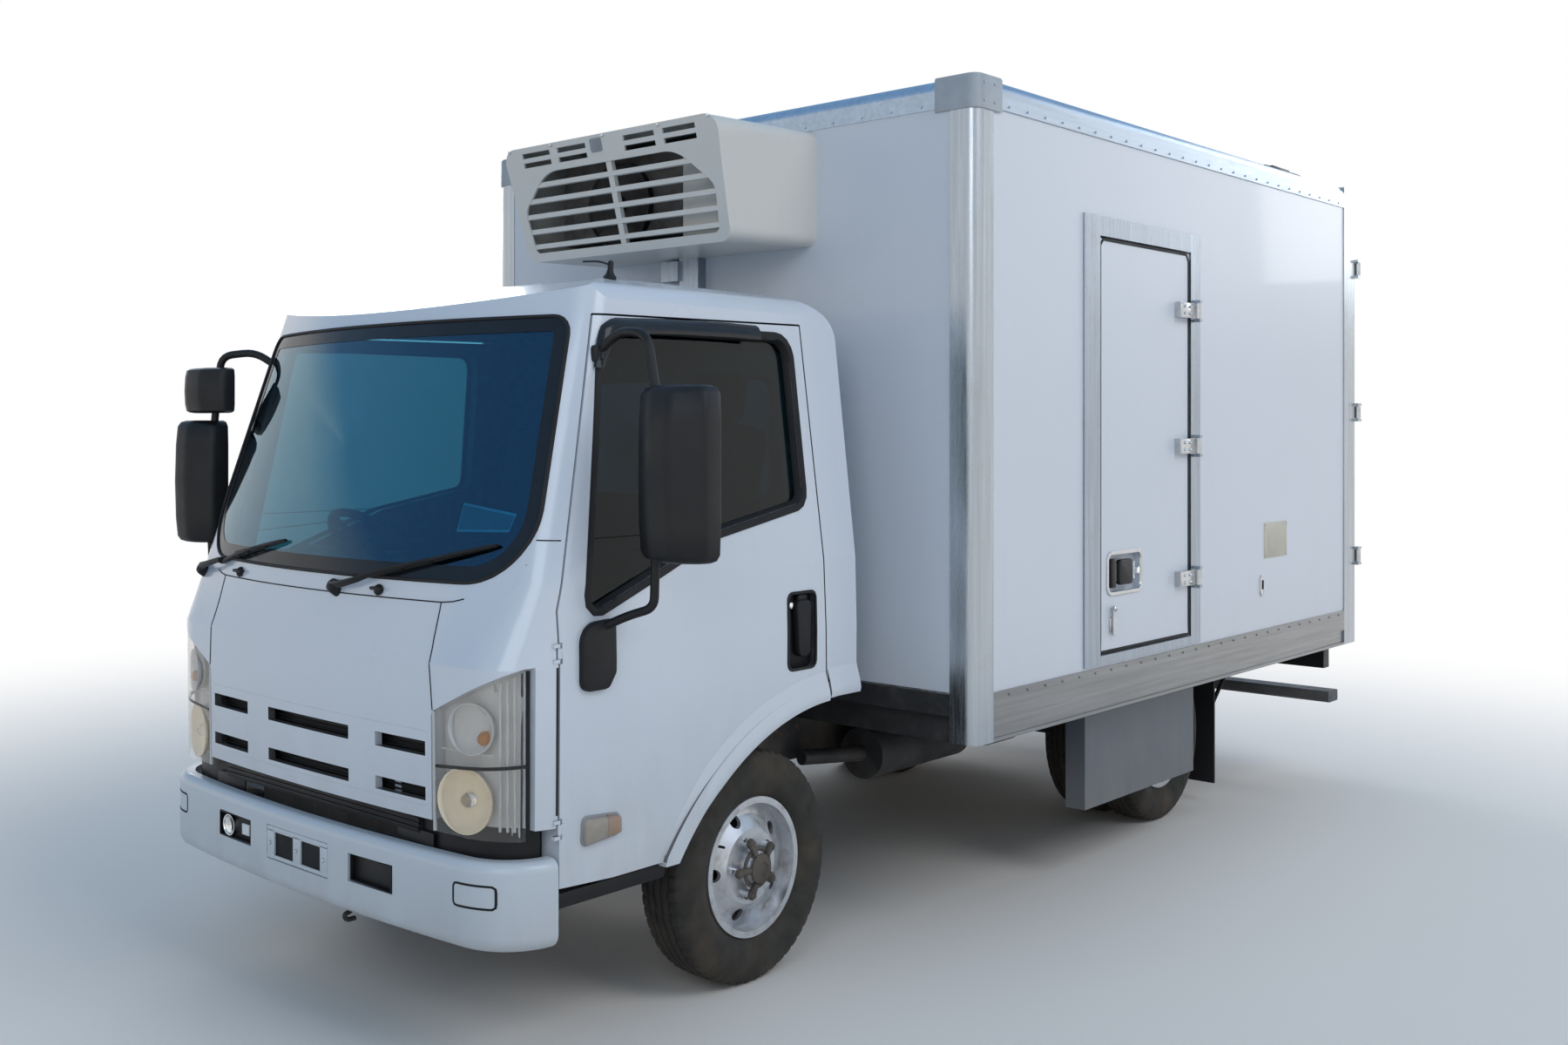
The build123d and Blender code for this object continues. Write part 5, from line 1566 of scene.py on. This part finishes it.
def swollen(seat):
    # Remeshed and blown up as cloth, no point further than the swell
    remesh = seat.modifiers.new("remesh", "REMESH")
    remesh.mode = "VOXEL"
    remesh.voxel_size = SEAT_VOXEL
    start = applied(seat)
    seat.modifiers.clear()
    seat.data = start
    before = [vert.co.copy() for vert in start.vertices]
    cloth = seat.modifiers.new("cloth", "CLOTH")
    cloth.settings.quality = 4
    cloth.settings.use_pressure = True
    cloth.settings.uniform_pressure_force = SEAT_PRESSURE
    cloth.settings.effector_weights.gravity = 0
    cloth.point_cache.frame_start = 1
    cloth.point_cache.frame_end = SEAT_FRAMES
    for step in range(1, SEAT_FRAMES + 1):
        bpy.context.scene.frame_set(step)
    blown = applied(seat)
    seat.modifiers.clear()
    for vert, was in zip(blown.vertices, before):
        move = vert.co - was
        if move.length > SEAT_SWELL:
            vert.co = was + move.normalized() * SEAT_SWELL
    bpy.context.scene.frame_set(1)
    blown.materials.clear()
    blown.materials.append(mats["seat_cloth"])
    return blown


def sew(seat):
    # Sewn channels along the cushions and up the backs
    for vert in seat.data.vertices:
        gap = min(abs(abs(vert.co.y) - line) for line in SEAT_CHANNELS)
        if gap < CHANNEL_HALF and vert.co.z < CHANNEL_TOP:
            vert.co -= vert.normal * CHANNEL_DEEP * (1 - gap / CHANNEL_HALF)
    for face in seat.data.polygons:
        face.use_smooth = True


def seats():
    made = Model()
    for low, high, edge, degrees, pivot in SEAT_FORMS:
        turn = Matrix.Translation(Vector(pivot)) @ Matrix.Rotation(math.radians(degrees), 4, "Y")
        made.slab(low, high, "seat_cloth", edge, 4, turn)
    made.double()
    seat = made.piece("seat_pads", "cab", "seat_fabric", ["seats"])
    seat.data = swollen(seat)
    sew(seat)
    smooth = seat.modifiers.new("smooth", "SUBSURF")
    smooth.levels = smooth.render_levels = 1


# Hood over the dials: each row its place along, top and half width; its middle and foot
HOOD = (
    (0.712, 1.262, 0.15), (0.708, 1.300, 0.165), (0.730, 1.330, 0.175), (0.800, 1.338, 0.175),
    (0.890, 1.262, 0.16),
)
HOOD_Y, HOOD_FOOT = -0.40, 1.240
HOOD_STEPS = 16
VENTS = (-0.62, 0.35, 0.62)
# Blank label inside the windscreen: corners as across and height, depth behind the glass, edge's section
LABEL = ((0.545, 1.432), (0.712, 1.436), (0.722, 1.486), (0.545, 1.512))
LABEL_DEPTH = 0.012
LABEL_EDGE = ((0, 0.0011), (0, 0.0018), (-0.007, 0.0018), (-0.007, 0.0011))


def cab_fittings():
    made = Model()
    hood = []
    for x, high, half in HOOD:
        row = []
        for k in range(HOOD_STEPS + 1):
            turn = math.pi * k / HOOD_STEPS
            z = HOOD_FOOT + (high - HOOD_FOOT) * math.sin(turn)
            row.append(Vector((x, HOOD_Y + half * math.cos(turn), z)))
        hood.append(row)
    made.skin(hood, "dash_plastic")
    made.slab((0.706, -0.16, 1.06), (0.724, 0.16, 1.235), "black_plastic", 0.006)
    for y in VENTS:
        made.slab((0.712, y - 0.06, 1.165), (0.722, y + 0.06, 1.225), "black_plastic", 0.005)
        for k in range(4):
            z = 1.172 + k * 0.013
            made.slab((0.708, y - 0.052, z), (0.713, y + 0.052, z + 0.005), "dash_plastic", 0.001)
    made.slab((0.740, 0.18, 1.262), (0.900, 0.62, 1.272), "dash_plastic", 0.004)
    glass = glass_curve(resampled(rounded(SCREEN), 0.03), 2.0, SCREEN_MIDDLE)

    def behind(u, v, lift):
        return glass(u, v, lift - LABEL_DEPTH)

    label = [Vector(p) for p in LABEL]
    made.plate(label, behind, 0.0, 0.001, "label_grey", 0.0004)
    made.rim(label, behind, LABEL_EDGE, "card")
    made.piece("dash_fittings", "cab", "black_plastic")


seats()
cab_fittings()


# Stage, light and camera

# Backdrop: sine of the elevation, and colour
BACKGROUND = ((0.275, (1.0, 1.0, 1.0)), (0.34, (0.30, 0.51, 0.78)))
DIFFUSE_LIGHT = 0.52
FLOOR_REACH = 60
FLOOR_DARK, FLOOR_LIGHT = (0.88, 0.835, 0.775), (0.90, 0.855, 0.795)
# Distances from the truck's middle between which the floor fades into the backdrop
FADE_FROM, FADE_TO = 2.6, 7.5


def backdrop_rays(tree):
    # One for the rays that see the backdrop: the camera's, and those that metal and glass send on
    path = tree.nodes.new("ShaderNodeLightPath")
    total = path.outputs["Is Camera Ray"]
    for name in ("Is Glossy Ray", "Is Transmission Ray"):
        node = tree.nodes.new("ShaderNodeMath")
        node.operation = "MAXIMUM"
        tree.links.new(total, node.inputs[0])
        tree.links.new(path.outputs[name], node.inputs[1])
        total = node.outputs[0]
    return total


def stage():
    mesh = bpy.data.meshes.new("floor")
    corners = [(x * FLOOR_REACH, y * FLOOR_REACH, 0) for x, y in ((-1, -1), (1, -1), (1, 1), (-1, 1))]
    mesh.from_pydata(corners, [], [(0, 1, 2, 3)])
    floor = bpy.data.objects.new("floor", mesh)
    bpy.context.scene.collection.objects.link(floor)
    shade = Shade("floor_white", 0.9)
    shade.colour(shade.ramp(shade.noise(0.3), (0.3, FLOOR_DARK), (0.7, FLOOR_LIGHT)))
    mesh.materials.append(shade.material)
    tree = shade.tree
    far = tree.nodes.new("ShaderNodeVectorMath")
    far.operation = "LENGTH"
    tree.links.new(shade.coords, far.inputs[0])
    fade = tree.nodes.new("ShaderNodeMapRange")
    fade.interpolation_type = "SMOOTHSTEP"
    fade.inputs["From Min"].default_value = FADE_FROM
    fade.inputs["From Max"].default_value = FADE_TO
    tree.links.new(far.outputs["Value"], fade.inputs["Value"])
    glow = tree.nodes.new("ShaderNodeEmission")
    mix = tree.nodes.new("ShaderNodeMixShader")
    tree.links.new(shade.times(fade.outputs[0], backdrop_rays(tree)), mix.inputs[0])
    tree.links.new(shade.bsdf.outputs[0], mix.inputs[1])
    tree.links.new(glow.outputs[0], mix.inputs[2])
    tree.links.new(mix.outputs[0], tree.nodes["Material Output"].inputs["Surface"])


def world():
    made = bpy.data.worlds.new("studio")
    bpy.context.scene.world = made
    made.use_nodes = True
    tree = made.node_tree
    tree.nodes.clear()
    out = tree.nodes.new("ShaderNodeOutputWorld")
    coords = tree.nodes.new("ShaderNodeTexCoord")
    split = tree.nodes.new("ShaderNodeSeparateXYZ")
    tree.links.new(coords.outputs["Generated"], split.inputs[0])
    sky = tree.nodes.new("ShaderNodeValToRGB")
    for element, (place, colour) in zip(sky.color_ramp.elements, BACKGROUND):
        element.position = place
        element.color = (*colour, 1)
    tree.links.new(split.outputs["Z"], sky.inputs["Fac"])
    soft = tree.nodes.new("ShaderNodeBackground")
    soft.inputs["Strength"].default_value = DIFFUSE_LIGHT
    tree.links.new(sky.outputs["Color"], soft.inputs["Color"])
    plain = tree.nodes.new("ShaderNodeBackground")
    tree.links.new(sky.outputs["Color"], plain.inputs["Color"])
    mix = tree.nodes.new("ShaderNodeMixShader")
    tree.links.new(backdrop_rays(tree), mix.inputs[0])
    tree.links.new(soft.outputs[0], mix.inputs[1])
    tree.links.new(plain.outputs[0], mix.inputs[2])
    tree.links.new(mix.outputs[0], out.inputs["Surface"])


def soft_lamp(name, place, target, size, watts, colour):
    data = bpy.data.lights.new(name, "AREA")
    data.shape = "RECTANGLE"
    data.size, data.size_y = size
    data.energy = watts
    data.color = colour
    lamp = bpy.data.objects.new(name, data)
    lamp.location = place
    lamp.rotation_euler = (Vector(target) - Vector(place)).to_track_quat("-Z", "Y").to_euler()
    bpy.context.scene.collection.objects.link(lamp)


def camera():
    data = bpy.data.cameras.new("camera")
    data.sensor_width = SENSOR
    data.lens = FOCAL_PIXELS / PHOTO_WIDTH * SENSOR
    data.shift_x = (PHOTO_WIDTH / 2 - CENTRE_U) / PHOTO_WIDTH
    data.shift_y = (CENTRE_V - PHOTO_HEIGHT / 2) / PHOTO_WIDTH
    made = bpy.data.objects.new("camera", data)
    made.location = at(*CAMERA_PLACE)
    look = Vector((-math.cos(CAMERA_YAW), -math.sin(CAMERA_YAW), 0))
    made.rotation_euler = look.to_track_quat("-Z", "Y").to_euler()
    bpy.context.scene.collection.objects.link(made)
    bpy.context.scene.camera = made


stage()
world()
soft_lamp("key", (0.5, 9.0, 8.5), (0, 0, 1.3), (6, 6), 330, (1.0, 0.98, 0.96))
soft_lamp("front", (9.0, 5.0, 5.5), (1.5, 0, 1.2), (4, 4), 120, (0.92, 0.96, 1.0))
soft_lamp("far", (-4, -9, 6.0), (0, 0, 1.3), (6, 5), 260, (0.97, 0.98, 1.0))
soft_lamp("back", (-10, 2, 5.0), (-2, 0, 1.3), (5, 4), 200, (0.97, 0.98, 1.0))
camera()
bpy.context.scene.view_settings.view_transform = "Standard"
